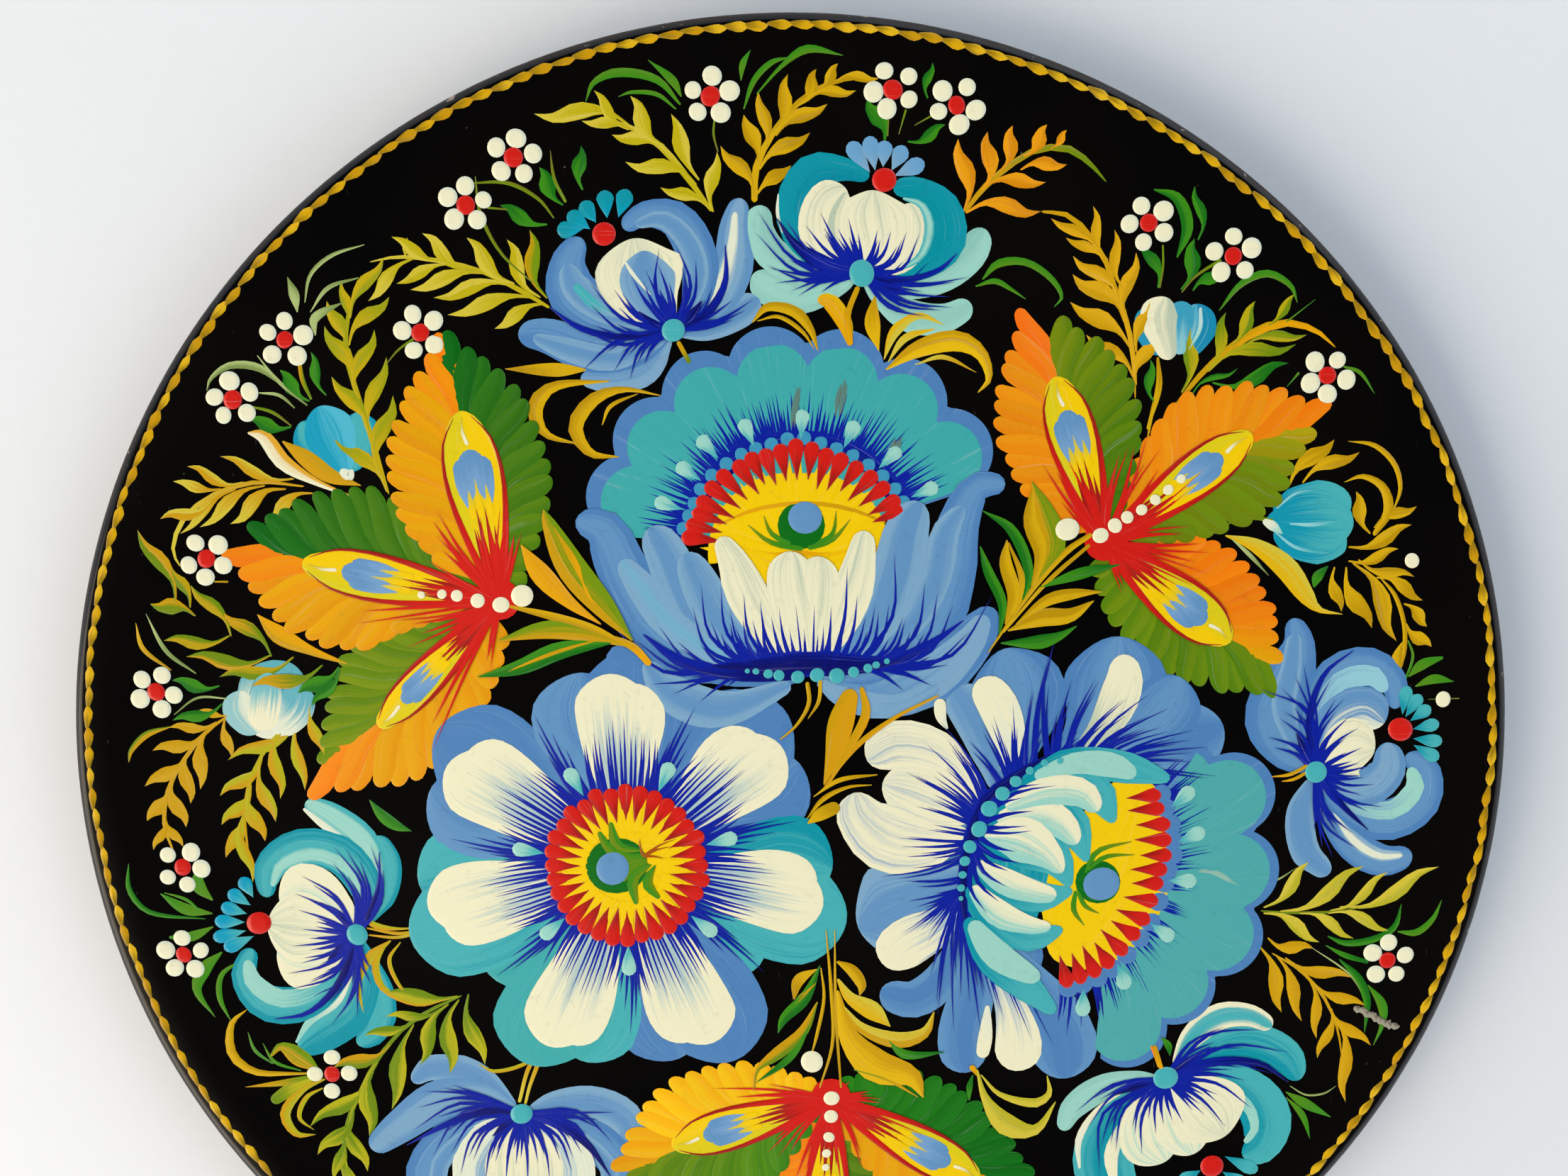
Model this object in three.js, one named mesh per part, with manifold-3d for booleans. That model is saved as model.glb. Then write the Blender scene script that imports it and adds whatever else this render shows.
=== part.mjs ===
// A round lacquered tray turned from one board, with a ring hanger screwed into the recess of its foot.
// Millimetres, +Z up. The tray lies face up, and the origin is the centre of the plane its foot stands on.

import * as THREE from "three";
import { mergeVertices } from "three/addons/utils/BufferGeometryUtils.js";
import Module from "manifold-3d";

// Driving dimensions
const tray = {
  radius: 175, // outside of the rim
  faceHeight: 10.5, // flat middle of the painted face
  flatRadius: 96, // where the face starts to rise
  rimRise: 6.5, // from the flat middle to the top of the rim
  rimThickness: 5.2, // across the rounded edge
  boardThickness: 5.5, // between the face and the recess
  segments: 84, // round the axis
};
const foot = { outer: 104, inner: 92, height: 5, edge: 0.8, fillet: 1.6 };
const hanger = {
  hingeY: 62, // from the middle of the tray to the ring's hinge line
  width: 10,
  sheet: 0.8, // strap thickness
  screwOffsets: [9.5, 24], // from the hinge line, the second at the round end's centre
  holeRadius: 1.6,
  gap: 0.3, // between the strap and the wood
};
const ring = { wire: 1, halfWidth: 10, length: 15, corner: 3, play: 0.25 };
const screw = {
  headRadius: 2.9,
  headHeight: 1.5,
  rootRadius: 0.95,
  threadRadius: 1.25,
  pitch: 0.9,
  length: 4.6,
  pilotClearance: 0.3,
  tipClearance: 0.4,
  slotWidth: 0.6,
  slotDepth: 0.8,
  seat: 0.05, // between the head and the strap
};

// Values that follow from them
const edgeRadius = tray.rimThickness / 2;
const rimTop = tray.faceHeight + tray.rimRise;
const edgeCentre = new THREE.Vector2(tray.radius - edgeRadius, rimTop - edgeRadius);
const recessZ = foot.height;
const strapTop = recessZ - hanger.gap;
const strapUnder = strapTop - hanger.sheet;
const knuckleInner = ring.wire + ring.play;
const knuckleOuter = knuckleInner + hanger.sheet;
const hingeZ = strapTop - knuckleOuter;

const wasm = await Module();
wasm.setup();

// A closed geometry as a solid that can be joined and cut.
function toSolid(geometry) {
  const bare = geometry.index ? geometry.toNonIndexed() : geometry.clone();
  bare.deleteAttribute("normal");
  bare.deleteAttribute("uv");
  const merged = mergeVertices(bare, 1e-3);
  return new wasm.Manifold(
    new wasm.Mesh({
      numProp: 3,
      vertProperties: merged.attributes.position.array,
      triVerts: new Uint32Array(merged.index.array),
    }),
  );
}

function toGeometry(solid) {
  const mesh = solid.getMesh();
  const geometry = new THREE.BufferGeometry();
  geometry.setAttribute("position", new THREE.BufferAttribute(new Float32Array(mesh.vertProperties), 3));
  geometry.setIndex(new THREE.BufferAttribute(new Uint32Array(mesh.triVerts), 1));
  geometry.computeVertexNormals();
  return geometry;
}

// LatheGeometry turns about +Y, so its result is stood up about +Z.
function turned(profile, segments) {
  return new THREE.LatheGeometry(profile, segments).rotateX(Math.PI / 2);
}

// Height of the painted face at a distance from the axis: flat, then a gentle upward sweep.
function faceZ(r) {
  const share = Math.max(0, (r - tray.flatRadius) / (edgeCentre.x - tray.flatRadius));
  return tray.faceHeight + tray.rimRise * share * share;
}

// An arc of profile points round a centre, from one angle to another in degrees.
function arcPoints(centre, radius, from, to, steps) {
  return Array.from({ length: steps + 1 }, (_, i) => {
    const angle = THREE.MathUtils.degToRad(from + ((to - from) * i) / steps);
    return new THREE.Vector2(centre.x + radius * Math.cos(angle), centre.y + radius * Math.sin(angle));
  });
}

function trayProfile() {
  const points = [new THREE.Vector2(0, recessZ)];
  const filletCentre = new THREE.Vector2(foot.inner - foot.fillet, recessZ - foot.fillet);
  points.push(...arcPoints(filletCentre, foot.fillet, 90, 0, 3));
  points.push(new THREE.Vector2(foot.inner, foot.edge), new THREE.Vector2(foot.inner + foot.edge, 0));
  points.push(new THREE.Vector2(foot.outer - foot.edge, 0), new THREE.Vector2(foot.outer, foot.edge));
  const underStart = new THREE.Vector2(foot.outer + foot.fillet, recessZ - foot.fillet);
  const underEnd = new THREE.Vector2(edgeCentre.x, edgeCentre.y - edgeRadius);
  const under = new THREE.QuadraticBezierCurve(
    underStart,
    new THREE.Vector2((underStart.x + underEnd.x) / 2, underStart.y + foot.fillet),
    underEnd,
  );
  points.push(...under.getPoints(6));
  points.push(...arcPoints(edgeCentre, edgeRadius, -90, 90, 8).slice(1));
  const riseSteps = 7;
  for (let i = 1; i <= riseSteps; i++) {
    const r = THREE.MathUtils.lerp(edgeCentre.x, tray.flatRadius, i / riseSteps);
    points.push(new THREE.Vector2(r, faceZ(r)));
  }
  points.push(new THREE.Vector2(0, tray.faceHeight));
  return points;
}

// The wooden tray itself, with a blind pilot hole for each hanger screw.
function trayBoard() {
  let solid = toSolid(turned(trayProfile(), tray.segments));
  const pilotRadius = screw.threadRadius + screw.pilotClearance;
  const pilotTop = strapUnder + screw.length + screw.tipClearance;
  for (const offset of hanger.screwOffsets) {
    const depth = pilotTop - recessZ + 1;
    const drill = new THREE.CylinderGeometry(pilotRadius, pilotRadius, depth, 20).rotateX(Math.PI / 2);
    drill.translate(0, hanger.hingeY - offset, pilotTop - depth / 2);
    solid = solid.subtract(toSolid(drill));
  }
  return toGeometry(solid);
}

// A strip of sheet metal with a round end, two screw holes, and a knuckle rolled round the ring's bar.
function hangerStrap() {
  const half = hanger.width / 2;
  const endY = -hanger.screwOffsets[1];
  const outline = new THREE.Shape();
  outline.moveTo(half, 0);
  outline.lineTo(-half, 0);
  outline.lineTo(-half, endY);
  outline.absarc(0, endY, half, Math.PI, 2 * Math.PI, false);
  outline.lineTo(half, 0);
  for (const offset of hanger.screwOffsets) {
    outline.holes.push(new THREE.Path().absarc(0, -offset, hanger.holeRadius, 0, 2 * Math.PI, true));
  }
  const leaf = new THREE.ExtrudeGeometry(outline, {
    depth: hanger.sheet,
    bevelEnabled: false,
    curveSegments: 12,
  }).translate(0, hanger.hingeY, strapUnder);

  const roll = new THREE.Shape().absarc(0, 0, knuckleOuter, 0, 2 * Math.PI, false);
  roll.holes.push(new THREE.Path().absarc(0, 0, knuckleInner, 0, 2 * Math.PI, true));
  const knuckle = new THREE.ExtrudeGeometry(roll, { depth: hanger.width, bevelEnabled: false, curveSegments: 12 })
    .translate(0, 0, -half)
    .rotateY(Math.PI / 2)
    .translate(0, hanger.hingeY, hingeZ);
  const bore = new THREE.CylinderGeometry(knuckleInner, knuckleInner, hanger.width + 2, 24)
    .rotateZ(Math.PI / 2)
    .translate(0, hanger.hingeY, hingeZ);
  return toGeometry(toSolid(leaf).subtract(toSolid(bore)).add(toSolid(knuckle)));
}

// A wire ring with a straight bar for the hinge, two square-set corners and a round bow.
function hangerRing() {
  const { halfWidth, length, corner, wire } = ring;
  const at = (x, y) => new THREE.Vector3(x, y, 0);
  const path = new THREE.CurvePath();
  const bow = length - halfWidth; // straight part of each side
  const kappa = 0.5523; // handle length of a quarter circle's Bezier
  const quarter = (a, b, centre) => {
    const ha = a.clone().add(b).sub(centre).sub(a).multiplyScalar(kappa);
    const hb = a.clone().add(b).sub(centre).sub(b).multiplyScalar(kappa);
    return new THREE.CubicBezierCurve3(a, a.clone().add(ha), b.clone().add(hb), b);
  };
  path.add(new THREE.LineCurve3(at(-halfWidth + corner, 0), at(halfWidth - corner, 0)));
  path.add(quarter(at(halfWidth - corner, 0), at(halfWidth, corner), at(halfWidth - corner, corner)));
  path.add(new THREE.LineCurve3(at(halfWidth, corner), at(halfWidth, bow)));
  path.add(quarter(at(halfWidth, bow), at(0, length), at(0, bow)));
  path.add(quarter(at(0, length), at(-halfWidth, bow), at(0, bow)));
  path.add(new THREE.LineCurve3(at(-halfWidth, bow), at(-halfWidth, corner)));
  path.add(quarter(at(-halfWidth, corner), at(-halfWidth + corner, 0), at(-halfWidth + corner, corner)));
  return toGeometry(toSolid(new THREE.TubeGeometry(path, 84, wire, 12, true)));
}

// A pan-head wood screw pointing up, with turned thread ridges and a cross slot, seated at z 0.
function hangerScrew() {
  const { headRadius, headHeight, rootRadius, threadRadius, pitch, length } = screw;
  const profile = [new THREE.Vector2(0, -headHeight)];
  const crown = new THREE.QuadraticBezierCurve(
    new THREE.Vector2(0, -headHeight),
    new THREE.Vector2(headRadius, -headHeight),
    new THREE.Vector2(headRadius, 0),
  );
  profile.push(...crown.getPoints(5).slice(1), new THREE.Vector2(rootRadius, 0));
  const turns = Math.floor((length - 1.2) / pitch);
  for (let i = 0; i < turns; i++) {
    profile.push(new THREE.Vector2(rootRadius, 0.4 + i * pitch));
    profile.push(new THREE.Vector2(threadRadius, 0.4 + (i + 0.5) * pitch));
  }
  profile.push(new THREE.Vector2(rootRadius, 0.4 + turns * pitch), new THREE.Vector2(0, length));
  let solid = toSolid(turned(profile, 20));
  for (const turn of [0, Math.PI / 2]) {
    const slot = new THREE.BoxGeometry(headRadius * 1.2, screw.slotWidth, 2 * screw.slotDepth).rotateZ(turn);
    slot.translate(0, 0, -headHeight);
    solid = solid.subtract(toSolid(slot));
  }
  return toGeometry(solid);
}

const blackLacquer = new THREE.MeshStandardMaterial({ color: 0x0c0b0a, roughness: 0.22, metalness: 0 });
const brassPlate = new THREE.MeshStandardMaterial({ color: 0xb08d45, roughness: 0.35, metalness: 1 });
const steelWire = new THREE.MeshStandardMaterial({ color: 0xb9b4a8, roughness: 0.3, metalness: 1 });

const assembly = new THREE.Group();

function place(name, geometry, material, position = [0, 0, 0]) {
  const mesh = new THREE.Mesh(geometry, material);
  mesh.name = name;
  mesh.position.set(...position);
  assembly.add(mesh);
}

place("tray_board", trayBoard(), blackLacquer);
place("hanger_strap", hangerStrap(), brassPlate);
place("hanger_ring", hangerRing(), steelWire, [0, hanger.hingeY, hingeZ]);
const screwNames = ["hanger_screw_upper", "hanger_screw_lower"];
const screwGeometry = hangerScrew();
hanger.screwOffsets.forEach((offset, i) => {
  place(screwNames[i], screwGeometry, steelWire, [0, hanger.hingeY - offset, strapUnder - screw.seat]);
});

export default assembly;
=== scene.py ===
import math
import random

import bmesh
import bpy
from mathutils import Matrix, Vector


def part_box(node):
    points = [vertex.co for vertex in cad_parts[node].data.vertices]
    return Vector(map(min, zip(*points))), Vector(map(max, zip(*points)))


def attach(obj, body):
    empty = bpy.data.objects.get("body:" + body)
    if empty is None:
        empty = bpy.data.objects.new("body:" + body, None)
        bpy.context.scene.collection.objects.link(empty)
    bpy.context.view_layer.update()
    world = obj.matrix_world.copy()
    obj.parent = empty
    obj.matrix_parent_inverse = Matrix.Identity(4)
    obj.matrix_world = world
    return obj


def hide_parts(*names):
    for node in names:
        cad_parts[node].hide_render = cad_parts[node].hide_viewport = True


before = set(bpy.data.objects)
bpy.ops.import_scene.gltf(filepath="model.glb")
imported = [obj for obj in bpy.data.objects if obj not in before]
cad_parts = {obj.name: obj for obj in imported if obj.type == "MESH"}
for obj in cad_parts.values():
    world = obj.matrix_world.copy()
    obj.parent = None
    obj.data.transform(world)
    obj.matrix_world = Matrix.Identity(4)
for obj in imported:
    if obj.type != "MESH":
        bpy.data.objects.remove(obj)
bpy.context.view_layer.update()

mm = 0.001

# Sizes of the turned board, in mm, for a tray 175 mm in radius. They grow and shrink with the frame's tray.
boardLow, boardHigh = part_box("tray_board")
trayScale = (boardHigh[0] - boardLow[0]) / 2 / (175 * mm)
unit = mm * trayScale
board = {
    "radius": 175,
    "flatRadius": 96,
    "faceHeight": 10.5,
    "rimRise": 6.4,
    "edgeRadius": 2.6,
    "footOuter": 104,
    "footInner": 92,
    "footHeight": 5,
    "turns": 288,
}
edgeAt = board["radius"] - board["edgeRadius"]
edgeZ = board["faceHeight"] + board["rimRise"] - board["edgeRadius"]


def faceHeight(r):
    # height of the painted face at a distance from the middle, in mm
    if r > edgeAt:
        return edgeZ + math.sqrt(max(0.0, board["edgeRadius"] ** 2 - (r - edgeAt) ** 2))
    rise = max(0.0, r - board["flatRadius"]) / (edgeAt - board["flatRadius"])
    return board["faceHeight"] + board["rimRise"] * rise * rise


# Camera and light
view = {
    "lens": 30.92,
    "place": (-2.0, 82.7, 337.7),
    "tilt": -7.2,
    "roll": -0.06,
    "floorColour": (0.86, 0.87, 0.88),
}


def addCamera():
    data = bpy.data.cameras.new("camera")
    data.lens = view["lens"]
    data.sensor_width = 36
    data.clip_start = 0.01
    camera = bpy.data.objects.new("camera", data)
    camera.location = Vector(view["place"]) * unit
    camera.rotation_euler = (math.radians(view["tilt"]), math.radians(view["roll"]), 0)
    bpy.context.scene.collection.objects.link(camera)
    bpy.context.scene.camera = camera


lamps = [
    # name, place in m, size in m, power in W, colour
    ("keyLamp", (-1.05, -0.55, 0.8), 1.1, 16, (1.0, 0.84, 0.62)),
    ("fillLamp", (0.75, 1.25, 0.7), 1.4, 5, (0.86, 0.93, 1.0)),
]


def addLamps():
    for name, place, size, power, colour in lamps:
        data = bpy.data.lights.new(name, "AREA")
        data.size = size
        data.energy = power
        data.color = colour
        lamp = bpy.data.objects.new(name, data)
        lamp.location = place
        lamp.rotation_euler = (-Vector(place)).to_track_quat("-Z", "Y").to_euler()
        bpy.context.scene.collection.objects.link(lamp)


# Shader maths as expressions
class Sock:
    def __init__(self, tree, socket):
        self.tree = tree
        self.socket = socket

    def math(self, operation, *others, clamp=False):
        values = dict(enumerate((self,) + others))
        return self.tree.add("ShaderNodeMath", {"operation": operation, "use_clamp": clamp}, values)

    def __add__(self, other):
        return self.math("ADD", other)

    __radd__ = __add__

    def __sub__(self, other):
        return self.math("SUBTRACT", other)

    def __rsub__(self, other):
        return self.tree.add("ShaderNodeMath", {"operation": "SUBTRACT"}, {0: other, 1: self})

    def __mul__(self, other):
        return self.math("MULTIPLY", other)

    __rmul__ = __mul__

    def __truediv__(self, other):
        return self.math("DIVIDE", other)

    def __pow__(self, other):
        return self.math("POWER", other)

    def over(self, low, high):
        # 0 below low, 1 above high, smooth between
        return self.tree.add("ShaderNodeMapRange", {"interpolation_type": "SMOOTHSTEP"},
                             {"Value": self, "From Min": low, "From Max": high})


class Finish:
    # a material's node tree, made through one method
    def __init__(self, name):
        self.material = bpy.data.materials.new(name)
        self.material.use_nodes = True
        self.tree = self.material.node_tree
        self.tree.nodes.clear()
        self.output = self.tree.nodes.new("ShaderNodeOutputMaterial")

    def add(self, kind, settings=None, values=None, out=0):
        node = self.tree.nodes.new(kind)
        for key, value in (settings or {}).items():
            if key == "stops":
                self.fillRamp(node.color_ramp, value)
            else:
                setattr(node, key, value)
        for key, value in (values or {}).items():
            if isinstance(value, Sock):
                self.tree.links.new(value.socket, node.inputs[key])
            else:
                node.inputs[key].default_value = value
        return Sock(self, node.outputs[out])

    def fillRamp(self, ramp, stops):
        while len(ramp.elements) < len(stops):
            ramp.elements.new(1.0)
        for element, (place, colour) in zip(ramp.elements, stops):
            element.position = place
            element.color = (*colour, 1)

    def mix(self, factor, first, second, kind="MIX"):
        return self.add("ShaderNodeMix", {"data_type": "RGBA", "blend_type": kind},
                        {0: factor, 6: colourOf(first), 7: colourOf(second)}, out=2)

    def scaled(self, source, scale):
        return self.add("ShaderNodeMapping", {}, {"Vector": source, "Scale": scale})

    def noise(self, source, scale, detail=3.0, roughness=0.5):
        return self.add("ShaderNodeTexNoise", {},
                        {"Vector": source, "Scale": scale, "Detail": detail, "Roughness": roughness})

    def bump(self, height, distance, strength=1.0):
        return self.add("ShaderNodeBump", {}, {"Height": height, "Distance": distance,
            "Strength": strength})

    def close(self, **values):
        names = {name.replace(" ", "_").lower(): name for name in
                 ("Base Color", "Roughness", "Metallic", "Coat Weight", "Coat Roughness", "Normal",
                  "Specular IOR Level", "IOR", "Coat IOR")}
        shader = self.add("ShaderNodeBsdfPrincipled", {}, {names[key]: value for key,
            value in values.items()})
        self.tree.links.new(shader.socket, self.output.inputs["Surface"])
        return self.material


def colourOf(value):
    if isinstance(value, Sock):
        return value
    return (*value, 1) if len(value) == 3 else value


def tint(red, green, blue):
    # a paint mixed on a 0 to 255 scale
    parts = []
    for part in (red, green, blue):
        part = part / 255
        parts.append(part / 12.92 if part < 0.04045 else ((part + 0.055) / 1.055) ** 2.4)
    return tuple(parts)


def lacquerFinish():
    # black gloss lacquer, brown where the rounded edge has worn, with specks of dust and fine scratches
    f = Finish("blackLacquer")
    place = f.add("ShaderNodeTexCoord", out=3)
    parts = f.add("ShaderNodeSeparateXYZ", {}, {0: place})
    split = parts.socket.node
    x, y, z = (Sock(f, split.outputs[i]) for i in range(3))
    radius = (x * x + y * y) ** 0.5
    cloud = f.noise(place, 9, 4)
    grain = f.noise(f.scaled(place, (18, 140, 60)), 6, 5, 0.6)
    patches = f.noise(place, 95, 4, 0.62)
    edge = radius.over(0.1728 * trayScale, 0.1746 * trayScale)
    worn = edge * (patches * 0.75 + grain * 0.45).over(0.5, 0.72)
    chips = radius.over(0.1732 * trayScale, 0.1742 * trayScale) * f.noise(place, 260, 3, 0.7).over(0.66,
        0.7)
    cells = f.add("ShaderNodeTexVoronoi", {"feature": "F1"}, {"Vector": place, "Scale": 150})
    rare = f.noise(place, 21, 2).over(0.52, 0.7)
    dust = (1 - cells.over(0.028, 0.05)) * rare
    scratchSpace = f.scaled(place, (240, 30, 60))
    scratch = f.noise(scratchSpace, 5, 2, 0.6).over(0.735, 0.76) * f.noise(place, 14, 2).over(0.5, 0.62)
    under = 1 - z.over(0.0085 * trayScale, 0.0105 * trayScale)
    laid = f.noise(f.scaled(place, (14, 220, 60)), 4, 4, 0.6)
    foot = under * (1 - z.over(0.0002 * trayScale, 0.0009 * trayScale))
    base = f.mix(cloud.over(0.4, 0.7), (0.0016, 0.0013, 0.0011), (0.0032, 0.0024, 0.0018))
    base = f.mix(under * laid.over(0.45, 0.75) * 0.5, base, (0.012, 0.0095, 0.008))
    base = f.mix(foot * (grain * 0.7 + patches * 0.5).over(0.5, 0.72), base, (0.16, 0.075, 0.032))
    base = f.mix(worn * 0.85, base, (0.035, 0.016, 0.009))
    base = f.mix(chips * 0.8, base, (0.42, 0.33, 0.24))
    base = f.mix(dust * 0.55, base, (0.17, 0.16, 0.14))
    base = f.mix(scratch * 0.12, base, (0.2, 0.19, 0.18))
    rough = (0.16 + worn * 0.3 + dust * 0.3 + f.noise(place, 40, 3) * 0.06 + scratch * 0.2 + edge * 0.12
             + under * (0.1 + laid * 0.16) + foot * 0.25)
    height = (f.noise(place, 130, 3) * 0.3 + f.noise(place, 22, 2) - worn * 0.5 - chips
              + under * (laid - 0.5) * 1.2)
    return f.close(base_color=base, roughness=rough, specular_ior_level=0.2,
                   coat_weight=(1 - edge) * (1 - under * 0.7) * 0.14, coat_roughness=0.04,
                   normal=f.bump(height, 0.00004))


def temperaFinish(name, gloss=0.3, bumpDepth=0.00003):
    # paint laid with a loaded brush: two colours drawn out in streaks along each stroke, under a thin varnish
    f = Finish(name)
    first = f.add("ShaderNodeAttribute", {"attribute_name": "firstColour"})
    second = f.add("ShaderNodeAttribute", {"attribute_name": "secondColour"})
    brush = f.add("ShaderNodeAttribute", {"attribute_name": "brush"}, out=1)
    load = f.add("ShaderNodeAttribute", {"attribute_name": "load"}, out=2)
    place = f.add("ShaderNodeTexCoord", out=3)
    hairs = f.noise(f.scaled(brush, (0.035, 2.1, 1)), 1.0, 3, 0.62)
    bands = f.noise(f.scaled(brush, (0.02, 0.6, 1)), 1.0, 2, 0.5)
    streak = hairs * 0.55 + bands * 0.45
    drawn = load * 0.9 + (streak - 0.5) * 1.7
    factor = drawn.over(0.25, 0.75)
    body = f.mix(factor, first, second)
    thin = f.noise(place, 420, 3, 0.6)
    body = f.mix((hairs.over(0.6, 0.75)) * 0.12, body, (0.9, 0.9, 0.86))
    body = f.mix((1 - hairs.over(0.25, 0.45)) * 0.16, body, f.mix(1.0, body, (0.55, 0.55, 0.6), "MULTIPLY"))
    body = f.mix((1 - thin.over(0.3, 0.42)) * 0.25, body, f.mix(1.0, body, (0.7, 0.7, 0.7), "MULTIPLY"))
    specks = (1 - f.add("ShaderNodeTexVoronoi", {"feature": "F1"},
                        {"Vector": place, "Scale": 330}).over(0.03, 0.06)) * f.noise(place, 60, 2).over(0.6,
                        0.75)
    body = f.mix(specks * 0.5, body, (0.06, 0.05, 0.04))
    rough = gloss + (hairs - 0.5) * 0.14 + (1 - thin) * 0.1
    height = hairs * 0.8 + thin * 0.25
    return f.close(base_color=body, roughness=rough, specular_ior_level=0.3, coat_weight=0.12,
        coat_roughness=0.1,
                   normal=f.bump(height, bumpDepth))


# Colours on the palette
cream = tint(244, 238, 200)
milk = tint(232, 235, 208)
shadeCream = tint(190, 202, 176)
periwinkle = tint(80, 131, 186)
sky = tint(128, 170, 200)
deepSky = tint(100, 149, 194)
aqua = tint(64, 172, 170)
paleAqua = tint(158, 214, 198)
turquoise = tint(10, 150, 166)
lagoon = tint(72, 178, 182)
deepBlue = tint(6, 30, 156)
nightBlue = tint(3, 10, 104)
yellow = tint(250, 206, 0)
amber = tint(234, 166, 0)
orange = tint(246, 134, 6)
red = tint(214, 28, 18)
darkRed = tint(160, 22, 14)
gold = tint(206, 156, 6)
brightGold = tint(230, 182, 10)
straw = tint(216, 196, 60)
lime = tint(186, 178, 24)
olive = tint(112, 140, 8)
leafGreen = tint(60, 140, 22)
green = tint(6, 108, 20)
paleGreen = tint(176, 192, 120)

# Two colours loaded on one brush
inkPair = (deepBlue, nightBlue)
nightPair = (nightBlue, deepBlue)
petalPair = (periwinkle, deepSky)
skyPair = (deepSky, periwinkle)
seaPair = (turquoise, lagoon)
lagoonPair = (lagoon, turquoise)
redPair = (red, darkRed)
creamPair = (cream, milk)
foamPair = (lagoon, paleAqua)
yolkPair = (yellow, amber)
shadedPair = (cream, shadeCream)

tempera = temperaFinish("tempera")
bodyFinish = lacquerFinish()


# The plan of the painting is in mm at the height of the rim's widest line,
# and drops from above onto the dished face.
dropFrom = Vector((-2.0, 82.7))
dropHeight = 323.3
layerStep = 0.03
filmDepth = 0.045
filmSink = 0.012


def ontoFace(x, y, lift):
    spot = Vector((x, y))
    fallen = spot
    for _ in range(2):
        depth = edgeZ - faceHeight(fallen.length)
        fallen = dropFrom + (spot - dropFrom) * (1 + depth / dropHeight)
    return Vector((fallen.x, fallen.y, faceHeight(fallen.length) + lift)) * unit


def smoothPath(points):
    # a smooth curve through the points; every point may carry more numbers after its place
    points = [tuple(p) for p in points]
    spans = [math.dist(a[:2], b[:2]) + 1e-6 for a, b in zip(points, points[1:])]
    total = sum(spans)

    def at(t):
        reach = min(max(t, 0.0), 1.0) * total
        i = 0
        while i < len(spans) - 1 and reach > spans[i]:
            reach -= spans[i]
            i += 1
        s = min(reach / spans[i], 1.0)
        before = points[i - 1] if i else tuple(2 * a - b for a, b in zip(points[0], points[1]))
        after = (points[i + 2] if i + 2 < len(points)
                 else tuple(2 * a - b for a, b in zip(points[-1], points[-2])))
        a, b = points[i], points[i + 1]
        here = spans[i]
        early = here / (here + (spans[i - 1] if i else here))
        late = here / (here + (spans[i + 1] if i + 1 < len(spans) else here))
        out = []
        for k in range(len(a)):
            m0 = (b[k] - before[k]) * early
            m1 = (after[k] - a[k]) * late
            out.append((2 * s**3 - 3 * s**2 + 1) * a[k] + (s**3 - 2 * s**2 + s) * m0
                       + (3 * s**2 - 2 * s**3) * b[k] + (s**3 - s**2) * m1)
        return out

    return at, total


# How far the second colour of a loaded brush shows, along a stroke (u, 0 to 1) and across it (v, -1 to 1)
blends = {
    "plain": lambda u, v: 0.0,
    "tip": lambda u, v: u,
    "base": lambda u, v: 1 - u,
    "left": lambda u, v: (v + 1) / 2,
    "right": lambda u, v: (1 - v) / 2,
    "heart": lambda u, v: 1 - abs(v) ** 1.5,
    "rim": lambda u, v: max(abs(v) ** 2, u**6),
    "inner": lambda u, v: min(1.0, 1.25 * (1 - abs(v) ** 3) * (1 - u**5)),
    "core": lambda u, v: 1.1 * (1 - v * v) * (1 - u) ** 0.8,
    "veins": lambda u, v: 0.2 + 0.34 * (1 - u) * (1 - v * v) + 0.12 * v * v,
}


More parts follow.
